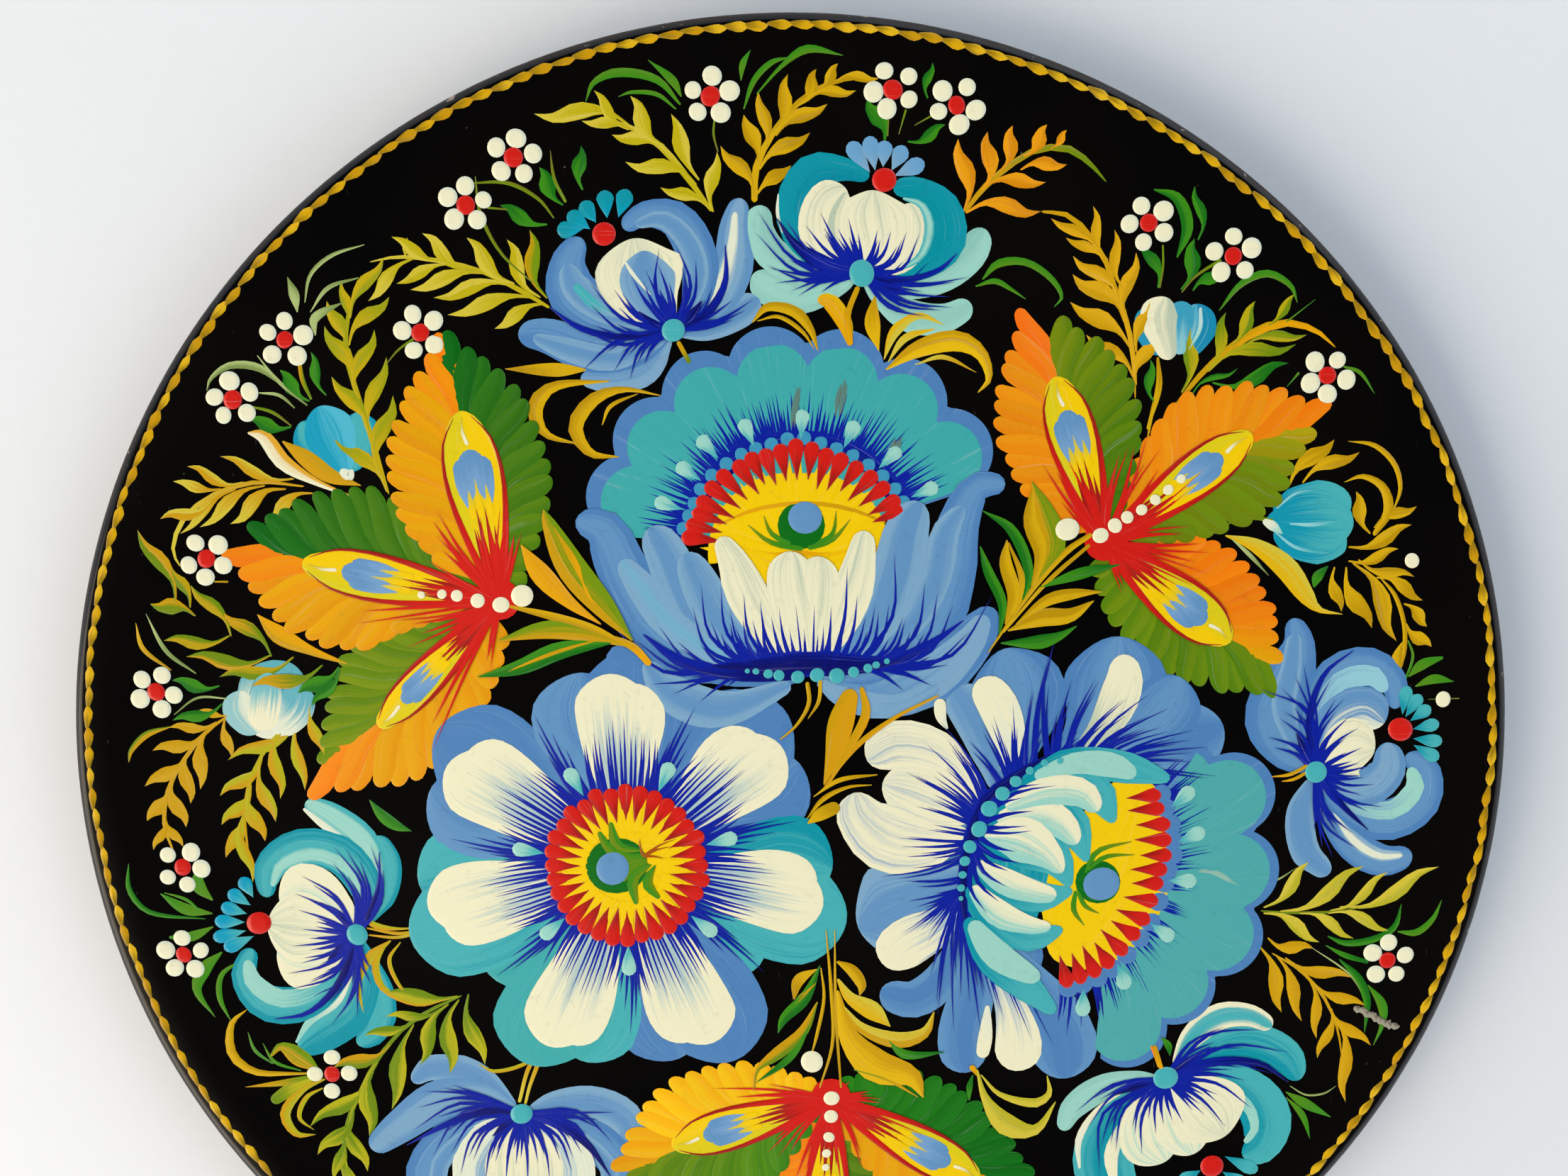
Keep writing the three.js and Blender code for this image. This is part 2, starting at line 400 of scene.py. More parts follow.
class Brushwork:
    # one painted motif: every stroke is a thin film of paint, laid over the ones before it
    def __init__(self, name, seed=1):
        self.name = name
        self.bm = bmesh.new()
        self.random = random.Random(seed * 7919 + 13)
        verts = self.bm.verts
        self.first = verts.layers.float_color.new("firstColour")
        self.second = verts.layers.float_color.new("secondColour")
        self.brush = verts.layers.float_vector.new("brush")
        self.load = verts.layers.float.new("load")
        self.laid = 0

    def lay(self, shape, steps, sides, colours, blend, layer, size, rise=filmDepth, crisp=6, outward=False):
        grid = bmesh.ops.create_grid(self.bm, x_segments=steps, y_segments=sides, size=1)
        seed = self.random.uniform(0, 900)
        lowest = layer * layerStep - filmSink + (self.laid % 16) * 0.0006
        blendAt = blends[blend]
        first = (*colours[0], 1)
        second = (*colours[-1], 1)
        for vert in grid["verts"]:
            s, across = vert.co.x, vert.co.y
            u = (1 - math.cos(math.pi * (s + 1) / 2)) / 2
            v = math.sin(across * math.pi / 2)
            x, y = shape(u, v)
            film = (1 - abs(v) ** crisp) * (1 - abs(s) ** 12)
            vert.co = ontoFace(x, y, lowest + rise * film)
            vert[self.first] = first
            vert[self.second] = second
            along, beside = u * size[0], v * size[1] / 2
            vert[self.brush] = (beside, along + seed, seed * 3.1) if outward else (along, beside + seed,
                seed * 3.1)
            vert[self.load] = blendAt(u, v)
        self.laid += 1

    def dab(self, points, colours, blend="plain", layer=0, steps=12, sides=4, rise=filmDepth):
        # a stroke through points (x, y, width); an end with a width is round, an end without one is pointed
        at, length = smoothPath(points)
        startCap = min(points[0][2] / 2, length * 0.45)
        endCap = min(points[-1][2] / 2, length * 0.45)
        sway = self.random.uniform(0, 6.28)
        wide = max(p[2] for p in points)

        def shape(u, v):
            x, y, width = at(u)
            ahead = at(min(u + 0.02, 1.0))
            behind = at(max(u - 0.02, 0.0))
            dx, dy = ahead[0] - behind[0], ahead[1] - behind[1]
            run = math.hypot(dx, dy) or 1.0
            width = max(width, 0.02) * (1 + 0.025 * math.sin(u * 9 + sway))
            fromStart, fromEnd = u * length, (1 - u) * length
            if fromStart < startCap:
                width *= math.sqrt(max(0.0, 1 - (1 - fromStart / startCap) ** 2))
            if fromEnd < endCap:
                width *= math.sqrt(max(0.0, 1 - (1 - fromEnd / endCap) ** 2))
            x -= dy / run * width / 2 * v
            y += dx / run * width / 2 * v
            return x, y

        self.lay(shape, steps, sides, colours, blend, layer, (length, wide), rise)

    def hair(self, start, end, bend, width, colours, layer=3, steps=6):
        # a thin line that starts thick and runs out to nothing; bend is the sideways sweep of its middle
        (x0, y0), (x1, y1) = start, end
        mx = (x0 + x1) / 2 - (y1 - y0) * bend
        my = (y0 + y1) / 2 + (x1 - x0) * bend
        self.dab([(x0, y0, width), (mx, my, width * 0.62), (x1, y1, 0)], colours, "plain", layer, steps, 2)

    def dot(self, x, y, radius, colours, layer=2, rise=None, blend="plain"):
        wobble = self.random.uniform(0, 6.28)
        stretch = self.random.uniform(0.0, 0.05)

        def shape(u, v):
            s = 2 * u - 1
            px = s * math.sqrt(1 - v * v / 2)
            py = v * math.sqrt(1 - s * s / 2)
            turn = math.atan2(py, px)
            reach = radius * (1 + stretch * math.sin(2 * turn + wobble))
            return x + px * reach, y + py * reach

        self.lay(shape, 6, 6, colours, blend, layer, (radius * 2, radius * 2), rise or radius * 0.09)

    def sheet(self, centre, reach, angles, colours, layer, inside=0.0, steps=72, rings=4, blend="plain"):
        # a fan-shaped field round a centre, its outline at reach(angle)
        a0, a1 = (math.radians(a) for a in angles)

        def shape(u, v):
            spread = math.acos(1 - 2 * u) / math.pi
            angle = a0 + (a1 - a0) * spread
            out = reach(angle)
            r = inside + (out - inside) * min(1, (math.asin(v) / math.pi + 0.5) * rings / (rings - 0.96))
            return centre[0] + r * math.cos(angle), centre[1] + r * math.sin(angle)

        self.lay(shape, steps, rings, colours, blend, layer, (60, 40), crisp=20, outward=True)

    def done(self, finish=tempera):
        # merge pointed ends, turn every face up and make the piece
        bmesh.ops.remove_doubles(self.bm, verts=self.bm.verts, dist=2e-6)
        bmesh.ops.recalc_face_normals(self.bm, faces=self.bm.faces)
        down = [face for face in self.bm.faces if face.normal.z < 0]
        bmesh.ops.reverse_faces(self.bm, faces=down)
        return makePiece(self.name, self.bm, finish)


def makePiece(name, bm, finish, body="tray"):
    mesh = bpy.data.meshes.new(name)
    bm.to_mesh(mesh)
    bm.free()
    mesh.materials.append(finish)
    mesh.shade_smooth()
    piece = bpy.data.objects.new(name, mesh)
    bpy.context.scene.collection.objects.link(piece)
    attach(piece, body)
    return piece


def turnBoard():
    # the board is turned: its profile, from the middle of the face round the edge to the middle of the recess
    profile = []
    for k in range(25):
        r = edgeAt * k / 24
        profile.append((r, faceHeight(r)))
    for k in range(1, 15):
        angle = math.radians(90 - 155 * k / 14)
        profile.append((edgeAt + board["edgeRadius"] * math.cos(angle),
                        edgeZ + board["edgeRadius"] * math.sin(angle)))
    lastR, lastZ = profile[-1]
    footR = board["footOuter"] + 1.6
    for k in range(1, 13):
        t = k / 12
        low = (1 - t) ** 2 * lastZ + 2 * t * (1 - t) * 5.0 + t * t * 3.4
        profile.append((lastR + (footR - lastR) * t, low))
    profile += [(104.4, 2.3), (104, 1.2), (103.6, 0.3), (103, 0), (93, 0), (92.4, 0.3), (92, 1.0),
                (91.4, 3.4), (90.6, 4.5), (89.4, 5.0), (60, 5.0), (30, 5.0), (0, 5.0)]
    bm = bmesh.new()
    verts = [bm.verts.new(Vector((r, 0, z)) * unit) for r, z in profile]
    edges = [bm.edges.new(pair) for pair in zip(verts, verts[1:])]
    bmesh.ops.spin(bm, geom=verts + edges, cent=(0, 0, 0), axis=(0, 0, 1), angle=2 * math.pi,
                   steps=board["turns"], use_merge=True)
    bmesh.ops.remove_doubles(bm, verts=bm.verts, dist=1e-6)
    bmesh.ops.recalc_face_normals(bm, faces=bm.faces)
    # the merge leaves points and faces in no fixed order, so they are put in one
    order = sorted(bm.verts, key=lambda vert: tuple(vert.co))
    places = {vert: place for place, vert in enumerate(order)}
    bm.verts.sort(key=lambda vert: places[vert])
    bm.verts.index_update()
    order = sorted(bm.faces, key=lambda face: sorted(vert.index for vert in face.verts))
    places = {face: place for place, face in enumerate(order)}
    bm.faces.sort(key=lambda face: places[face])
    piece = makePiece("lacqueredBoard", bm, bodyFinish)
    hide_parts("tray_board")
    return piece


beads = {"count": 214, "radius": 172.4, "width": 2.25}


def paintBeads():
    # a chain of gold drops along the rim, each with a thin tail reaching under the next
    work = Brushwork("beadBorder", 3)
    rand = random.Random(5)
    step = 2 * math.pi / beads["count"]
    for k in range(beads["count"]):
        angle = k * step + rand.uniform(-0.08, 0.08) * step
        wide = beads["width"] * rand.uniform(0.82, 1.15)
        off = rand.uniform(-0.25, 0.25)
        points = []
        for along, side, part in ((-0.62, 0.3, 0.28), (-0.25, 0.1, 0.72), (0.12, -0.1, 1.0),
            (0.5, 0.1, 0.22)):
            r = beads["radius"] + off + side
            a = angle - along * step * 1.05
            points.append((r * math.cos(a), r * math.sin(a), wide * part))
        work.dab(points, (rand.choice((tint(222, 170, 8), tint(206, 152, 4), tint(230, 182, 24))),
            tint(160, 124, 6)), "base",
                 0, 8, 4, rise=0.09)
    return work.done()


berries = [
    # x, y, first angle, number of dots
    (-18.7, 156.5, 15, 5), (23.5, 158.0, 40, 5), (38.3, 154.5, 60, 5), (-64.6, 142.8, 10, 5),
    (-76.0, 132.0, 15, 5), (-119.7, 101.0, 15, 5), (-87.6, 102.7, 35, 5), (-132.7, 87.0, 25, 5),
    (-141.0, 49.0, 50, 5), (-155.0, 16.3, 65, 5), (-151.0, -28.0, 65, 5), (-152.0, -50.7, 20, 5),
    (-116.2, -82.3, 0, 4), (83.7, 128.0, 40, 5), (103.8, 120.4, 20, 5), (127.3, 92.7, 62, 5),
    (149.7, -52.3, 85, 5),
]


def paintBerries():
    work = Brushwork("berryDots", 9)
    rand = random.Random(17)
    for x, y, turn, count in berries:
        for k in range(count):
            angle = math.radians(turn + 360 / count * k + rand.uniform(-6, 6))
            reach = rand.uniform(4.2, 4.7)
            work.dot(x + reach * math.cos(angle), y + reach * math.sin(angle), rand.uniform(1.95, 2.4),
                     creamPair, 3, blend="rim")
        work.dot(x, y, rand.uniform(2.0, 2.3), redPair, 4)
    for x, y, radius in ((150, 48.5, 1.8), (159.6, 14.4, 1.9)):
        work.dot(x, y, radius, shadedPair, 3)
    return work.done()


def lobedReach(centre, lobes):
    # distance from a centre to the outline of overlapping round lobes (x, y, radius)
    def reach(angle):
        best = 1.0
        dx, dy = math.cos(angle), math.sin(angle)
        for x, y, radius in lobes:
            px, py = x - centre[0], y - centre[1]
            along = px * dx + py * dy
            gap = radius**2 - (px * px + py * py - along * along)
            if gap > 0 and along > 0:
                best = max(best, along + math.sqrt(gap))
        return best

    return reach


def tears(work, heads, inner, length, width, colours, layer=5):
    # drops with round heads outside and points drawn towards the middle
    for x, y in heads:
        dx, dy = inner[0] - x, inner[1] - y
        run = math.hypot(dx, dy)
        reach = length * work.random.uniform(0.9, 1.1)
        ex, ey = x + dx / run * reach, y + dy / run * reach
        at = lambda t: (x + (ex - x) * t, y + (ey - y) * t)
        work.dab([(x, y, width), (*at(0.25), width), (*at(0.62), width * 0.5), (ex, ey, 0)], colours, "tip",
            layer, 10, 4,
                 rise=0.1)


def dullStreak(work, points, colours, layer):
    # a dull streak: three thin strokes side by side
    for k in range(3):
        shift = work.random.uniform(-0.5, 0.5) + (k - 1) * 0.5
        work.dab([(x + shift, y + work.random.uniform(-0.8, 0.8), width * 0.6) for x, y, width in points],
            colours, "rim", layer, 8, 3)


def combHairs(work, centre, angles, count, start, reach, width, bend=0.0, layer=4, colours=(deepBlue,)):
    # a row of fine tapering hairs standing out from a curve start(angle)
    for k in range(count):
        share = (k + 0.5) / count
        angle = math.radians(angles[0] + (angles[1] - angles[0]) * share + work.random.uniform(-0.8, 0.8))
        r0 = start(angle)
        r1 = r0 + reach * work.random.uniform(0.6, 1.15)
        dx, dy = math.cos(angle), math.sin(angle)
        work.hair((centre[0] + r0 * dx, centre[1] + r0 * dy), (centre[0] + r1 * dx, centre[1] + r1 * dy),
                  bend, width, colours, layer)


def paintCrownBlossom():
    # the large blossom at the top: a scalloped fan over a cup of petals, with an eye between them
    fan = Brushwork("crownFan", 21)
    centre = (2, 52)
    lobeAngles = (164, 143.5, 121.8, 99.2, 76.5, 54.2, 32.2)
    outer = [(2 + 42.6 * math.cos(math.radians(a)), 52 + 42.6 * math.sin(math.radians(a)),
        10.4) for a in lobeAngles]
    inner = [(2.4 + 41.0 * math.cos(math.radians(a)), 51.4 + 41.0 * math.sin(math.radians(a)),
        8.7) for a in lobeAngles]
    fan.sheet(centre, lobedReach(centre, outer), (178, 14), petalPair, 0, 12, 150)
    fan.sheet(centre, lobedReach(centre, inner), (177, 15), (aqua, tint(56, 164, 163)), 1, 12, 150)
    arc = lambda a: 25.5 + 1.5 * abs(math.cos(a))
    band = [(2 + 27 * math.cos(math.radians(a)), 51.4 + 26 * math.sin(math.radians(a))) for a in range(172,
        19, -19)]
    fan.dab([(x, y, 5.4) for x, y in band], nightPair, "left", 2, 30, 4)
    combHairs(fan, centre, (176, 21), 112, lambda a: arc(a) + 0.5, 11, 0.95, layer=2)
    combHairs(fan, centre, (174, 23), 60, lambda a: arc(a) - 0.5, 7, 1.7, layer=2,
        colours=inkPair)
    for x, y in ((-31.2, 62.5), (-26, 70.8), (-21, 77.1), (-11, 80.9), (2.6, 83.1), (14.9, 80.5),
        (24.9, 74.5),
                 (33.8, 66)):
        dx, dy = x - 2, y - 52
        run = math.hypot(dx, dy)
        tail = (x - dx / run * 5.5, y - dy / run * 5.5)
        fan.dab([(x + dx / run * 1.6, y + dy / run * 1.6, 3.0), (x, y, 3.7), (*tail, 0)],
            (paleAqua, lagoon), "tip", 3,
                8, 4, rise=0.09)
    for x, top, foot in ((1.2, 90, 80.6), (11.8, 91.4, 83), (25, 77.6, 73)):
        dullStreak(fan, [(x + 0.8, top, 0.4), (x, (top + foot) / 2, 1.7), (x - 0.6, foot, 0.2)],
            (tint(92, 132, 124), tint(104, 110, 92)), 3)
    fan.done()

    eye = Brushwork("crownEye", 22)
    field = lambda a: 19.5 + 2.5 * abs(math.cos(a))
    eye.sheet((2, 50), field, (186, -6), yolkPair, 2, 0.5, 60)
    eye.dab([(-17, 52, 3), (2, 44, 15), (22, 52, 3)], yolkPair, "rim", 2, 14, 4)
    heads = [(-26.4, 54.3), (-25.3, 57.4), (-23.7, 60.4), (-22.7, 63.4), (-20.5, 67.1), (-17.5, 70.1),
        (-13.4, 72.6),
             (-10.2, 74.5), (-6.6, 75.4), (-2.8, 76.6), (1.1, 77.9), (5.2, 77.1), (9.0, 75.6), (12.8, 74.4),
             (16.7, 72.3), (20.4, 69.9), (23.6, 67.1), (26.2, 63.6), (27.6, 60.9)]
    for x, y in heads:
        # flame spikes of the yellow field between the drops
        dx, dy = x - 2 + eye.random.uniform(-1, 1), y - 50
        run = math.hypot(dx, dy)
        side = 1.9
        sx, sy = -dy / run * side, dx / run * side
        base = (2 + dx / run * (run - 12) + sx, 50 + dy / run * (run - 12) + sy)
        eye.dab([(*base, 3.0), (2 + dx / run * (run - 5) + sx, 50 + dy / run * (run - 5) + sy, 0)],
            (yellow,),
                "plain", 3, 6, 2)
    for (x, y), (nx, ny) in zip(heads, heads[1:]):
        # a light bead tucked behind every gap
        eye.dot((x + nx) / 2, (y + ny) / 2 + 0.4, 1.7, (tint(62, 150, 186), tint(110, 180, 200)), 3,
            rise=0.03)
    tears(eye, heads, (2, 51), 9.6, 3.7, redPair, 5)
    # a painted highlight on every red drop: a small light red dot near its round head
    for x, y in heads:
        eye.dot(x * 0.985, y * 0.985 + 0.6, eye.random.uniform(0.3, 0.6), (tint(240, 92, 78),), 6)
    eye.dab([(-18, 57, 0.4), (-8, 61, 0.9), (4, 62.4, 1.0), (14, 61, 0.9), (23, 57.6, 0.4)], (amber, gold),
        "tip", 4,
            14, 2)
    for points in (((3, 51.4, 1.5), (-5, 53, 1.2), (-10.4, 57.2, 0.1)),
        ((0, 52.6, 1.3), (-4.6, 55, 1.1), (-6.6, 59.4, 0.1)),
                   ((4, 51.6, 1.5), (10, 53.6, 1.2), (14.4, 58.6, 0.1)),
                   ((6, 52.4, 1.3), (10, 55, 1.1), (10.9, 60.6, 0.1))):
        eye.dab(points, (leafGreen, olive), "tip", 5, 10, 3)
    eye.dot(2.5, 57.0, 5.7, (green, tint(20, 122, 16)), 5, rise=0.06)
    eye.dot(3.4, 58.9, 4.0, (deepSky, sky), 7, rise=0.14)
    eye.done()

    cup = Brushwork("crownCup", 23)
    # big blue petals on both sides, each with a lighter stroke inside it
    cup.dab([(-51.8, 58.2, 5), (-45, 56, 10), (-40.5, 46, 13), (-33, 34, 15), (-17, 24, 12), (2, 19.5, 3)],
            petalPair, "heart", 5, 20, 6)
    cup.dab([(51.4, 67.0, 4.5), (44.5, 66.2, 7), (40.2, 57, 10), (38.4, 46, 13), (34, 34, 15), (22, 24, 12),
        (8, 19.5, 3)],
            petalPair, "heart", 5, 22, 6)
    cup.dab([(-45, 23.4, 6), (-37, 25, 8), (-24, 22, 7), (-8, 20, 2)], petalPair, "tip", 4, 12,
        4)
    cup.dab([(49.2, 37.0, 5), (44.5, 30, 11), (34, 20, 14), (20, 14, 9), (7, 18.5, 2)], (periwinkle, sky),
        "tip", 5,
            18, 6)
    cup.dab([(47.4, 35.2, 4), (43, 28, 8), (33, 19, 11), (20, 14.2, 8), (8, 18.5, 2)], (sky, deepSky),
        "tip", 6, 18, 6)
    cup.dab([(-35.4, 23.8, 3), (-30, 16.5, 9), (-17, 11.8, 9.5), (0, 18, 3)], (sky, deepSky), "heart", 6,
        16, 6)
    cup.dab([(36, 18, 5), (26, 13, 6), (14, 14.5, 6), (6.5, 19, 2)], (sky, deepSky), "veins", 7, 12, 4)
    cup.dab([(-34, 56.6, 7), (-30, 50, 10.5), (-26, 40, 11), (-20, 30, 10), (-5, 21, 4)], (sky, deepSky),
        "heart", 6, 18, 4)
    cup.dab([(-41, 48.6, 4), (-36, 42, 7.5), (-29, 33, 8), (-16, 25, 7), (-2, 20, 2)],
        (sky, tint(116, 176, 204)), "heart", 7, 18, 4)
    cup.dab([(-25.6, 50.4, 6), (-22, 43, 9.5), (-17.5, 34, 9), (-9, 26, 7), (1, 20, 2)], (sky, deepSky),
        "heart", 8, 16,
            4)
    cup.dab([(31, 62.8, 6), (28, 56, 11), (26.0, 47, 12.5), (22, 36, 12), (14, 27, 9), (7, 20, 2)],
            (sky, deepSky), "heart", 7, 18, 6)
    cup.dab([(41.2, 61.6, 3), (37.2, 55, 7), (35.4, 45, 7.5), (30, 34, 7), (19, 25, 5), (9, 20, 1)],
        (sky, deepSky),
            "heart", 6, 18, 4)
    # cream petals of the cup
    cup.dab([(-17.2, 54.2, 4), (-13.8, 48, 7.5), (-10.6, 40, 10.5), (-5.5, 31, 9), (2, 23, 2)],
        shadedPair,
            "veins", 8, 16, 6)
    cup.dab([(17.8, 55.8, 4.8), (16.8, 49, 7.6), (14.6, 40, 10), (10.6, 31, 8.5), (5, 23, 2)],
        shadedPair,
            "veins", 8, 16, 6)
    cup.dab([(6.6, 49.6, 8), (6.4, 43, 11), (5.6, 34, 11), (5, 24, 3)], shadedPair, "veins", 9, 18,
        6)
    cup.dab([(-0.2, 50.8, 8), (0, 44, 12), (1.8, 35, 12), (4.4, 24, 3)], shadedPair, "veins", 9,
        18, 6)
    # dark hairs swept out of the base, the outer ones longest and most curved
    sweeps = [(-36.5, 31.5, 0.2), (-32, 28, 0.16), (-29, 24, 0.12), (-33, 18.4, 0.05), (-28, 16, -0.02),
        (-27, 30, 0.2),
              (-20.4, 33.4, 0.2), (-18.6, 37.6, 0.18), (-16.6, 31, 0.16), (-14.4, 37.4, 0.16),
              (-12.5, 33, 0.14), (-11.4, 30, 0.12),
              (-9.5, 36, 0.12), (-7.6, 31, 0.1), (-6, 34.6, 0.08), (-3.6, 31.5, 0.05), (-2, 33.6, 0.04),
              (0.2, 29.5, 0.02),
              (1.6, 33.8, 0), (3.4, 29.6, 0), (5.6, 34, 0), (7.6, 30, -0.03), (9.2, 33.6, -0.04),
              (12.6, 40.6, -0.05),
              (14.8, 35.6, -0.07), (16.6, 31.6, -0.08), (18.6, 33.6, -0.1), (22.6, 43.2, -0.14),
              (21.6, 34, -0.14), (24.6, 31.6, -0.14),
              (29.2, 38, -0.18), (28, 31, -0.16), (32, 36.4, -0.2), (35, 34, -0.2), (42, 35.6, -0.2),
              (38, 29, -0.16),
              (33.6, 25, -0.1), (37.6, 23, -0.05), (31, 20, -0.02), (34, 18, 0.02), (27, 17, 0.04),
              (-22, 19, 0.03), (-19, 16, -0.04),
              (-24, 25.6, 0.14), (-14, 27.6, 0.12), (26, 27.6, -0.12)]
    for x, y, bend in sweeps:
        sx = 5 + max(-17, min(17, (x - 5) * 0.6))
        sy = 21.6 + abs(sx - 5) * 0.06
        over = 0.05 if y < 26 and abs(x) > 22 else 0.34
        far = (x + (x - sx) * over, y + (y - sy) * over)
        cup.hair((sx, sy), far, bend * 1.1, 1.35, inkPair, 10, 12)
        near = cup.random.uniform(0.55, 0.8)
        cup.hair((sx + 0.6, sy), (sx + 1.1 + (x - sx) * near, sy + (y - sy) * near), bend * 0.8, 1.6,
            inkPair, 10, 9)
    cup.dab([(-20, 22.6, 0.5), (-9, 22.4, 4.6), (5, 23.4, 6.6), (17, 23.2, 4.6), (27, 24.6, 0.5)],
        nightPair,
            "rim", 10, 14, 4)
    cup.dab([(-36, 30.6, 0.4), (-26, 23.4, 3), (-12, 20.6, 3.4), (4, 20.6, 2.4)], inkPair,
        "tip", 10, 12, 3)
    cup.dab([(42, 34, 0.3), (33, 27.6, 2.2), (22, 23, 2.6), (8, 21, 2)], inkPair, "tip", 10,
        12, 3)
    for x, y, radius in ((-10.6, 21.5, 0.6), (-8.5, 21.4, 0.8), (-5.5, 20.8, 1.15), (-2.9, 20.4, 1.35),
        (1.7, 20.0, 1.6),
                         (6.4, 20.5, 1.75), (11.2, 20.3, 1.9), (15.3, 21.2, 1.35), (18.8, 22.2, 1.1),
                         (20.8, 23.0, 0.9),
                         (23.4, 23.9, 0.7)):
        cup.dot(x, y, radius, lagoonPair, 12)
    cup.done()


def paintWheelBlossom():
    # the full round blossom at the lower left: seven cream petals over broad blue ones
    cx, cy = -40.8, -27.6
    back = Brushwork("wheelBackPetals", 31)
    petals = [
        # angle, reach, cream width, back width, colours of the petal behind
        (92, 48.5, 20, 36, petalPair), (40.6, 49, 20, 34, petalPair),
        (-10.3, 50, 19, 34, lagoonPair), (-67, 51, 19.5, 34, petalPair),
        (-112, 51.5, 19, 32, (aqua, lagoon)), (194.3, 50.8, 19.5, 34, lagoonPair),
        (148, 50.6, 20, 34, petalPair),
    ]
    for k, (angle, reach, wide, broad, colours) in enumerate(petals):
        a = math.radians(angle)
        dx, dy = math.cos(a), math.sin(a)
        lean = 1 if k % 2 else -1
        # every petal is two strokes side by side, the second a little shorter, so its end is lobed
        for n, (part, short, off) in enumerate(((0.8, 0, 0.14), (0.7, 6, -0.24))):
            out = reach + 6.5 - short
            ox, oy = -dy * broad * off * lean, dx * broad * off * lean
            back.dab([(cx + dx * 14, cy + dy * 14, 8), (cx + dx * 30 + ox * 0.6, cy + dy * 30 + oy * 0.6,
                broad * part * 0.85),
                      (cx + dx * (out - 12) + ox, cy + dy * (out - 12) + oy, broad * part),
                      (cx + dx * out + ox, cy + dy * out + oy, broad * part * 0.72)], colours,
                      "left" if n else "veins",
                     4 + (k + n) % 2, 20, 8)
    for angle, out, broad, colours in ((67, 46, 20, petalPair), (15, 45, 18, (lagoon, aqua)),
        (-38, 42, 20, lagoonPair),
                                       (-90, 41, 18, petalPair),
                                       (-141, 45, 22, (aqua, turquoise)),
                                       (171, 45, 20, petalPair),
                                       (120, 42, 18, petalPair)):
        dx, dy = math.cos(math.radians(angle)), math.sin(math.radians(angle))
        back.dab([(cx + dx * 16, cy + dy * 16, 6), (cx + dx * 32, cy + dy * 32, broad * 0.85),
                  (cx + dx * (out - 6), cy + dy * (out - 6), broad),
                  (cx + dx * out, cy + dy * out, broad * 0.7)],
                 colours, "veins", 3, 14, 6)
    back.done()

    front = Brushwork("wheelCreamPetals", 32)
    for k, (angle, reach, wide, broad, colours) in enumerate(petals):
        a = math.radians(angle)
        dx, dy = math.cos(a), math.sin(a)
        lean = -1 if k % 3 else 1
        for part, short, off in ((0.66, 2.6, -0.2), (0.84, 0, 0.08)):
            out = reach - short
            ox, oy = -dy * wide * off * lean, dx * wide * off * lean
            front.dab([(cx + dx * 16, cy + dy * 16, 7), (cx + dx * 27 + ox * 0.7, cy + dy * 27 + oy * 0.7,
                wide * part * 0.86),
                       (cx + dx * (out - 9) + ox, cy + dy * (out - 9) + oy, wide * part * 1.1),
                       (cx + dx * out + ox, cy + dy * out + oy, wide * part * 0.82)],
                      (cream, tint(170, 196, 196)), "core", 7, 18, 8)
        for n in range(17):
            turn = a + math.radians(-24 + 48 * (n + 0.5) / 17 + front.random.uniform(-1, 1))
            far = 29 + 9 * math.cos((n - 8) / 8 * 1.1) * front.random.uniform(0.5, 1.1)
            front.hair((cx + 18.5 * math.cos(turn), cy + 18.5 * math.sin(turn)),
                       (cx + far * math.cos(turn - (turn - a) * 0.25),
                       cy + far * math.sin(turn - (turn - a) * 0.25)),
                       0.03 * (n - 8) / 8, 1.2, inkPair, 8)
    gaps = (66.5, 15, -39, -89.5, -139, 171, 120)
    for angle in gaps:
        for off, far in ((-4, 33), (-2, 38), (0, 44), (2, 40), (4, 34)):
            a = math.radians(angle + off)
            front.hair((cx + 18 * math.cos(a), cy + 18 * math.sin(a)),
                (cx + far * math.cos(a), cy + far * math.sin(a)),
                       0.03, 1.4, inkPair, 8)
        a = math.radians(angle)
        front.dab([(cx + 28.6 * math.cos(a), cy + 28.6 * math.sin(a), 3.0),
            (cx + 26.4 * math.cos(a), cy + 26.4 * math.sin(a), 3.8),
                   (cx + 20.5 * math.cos(a), cy + 20.5 * math.sin(a), 0)], (paleAqua, lagoon), "tip", 10, 8,
                   4, rise=0.1)
    front.done()

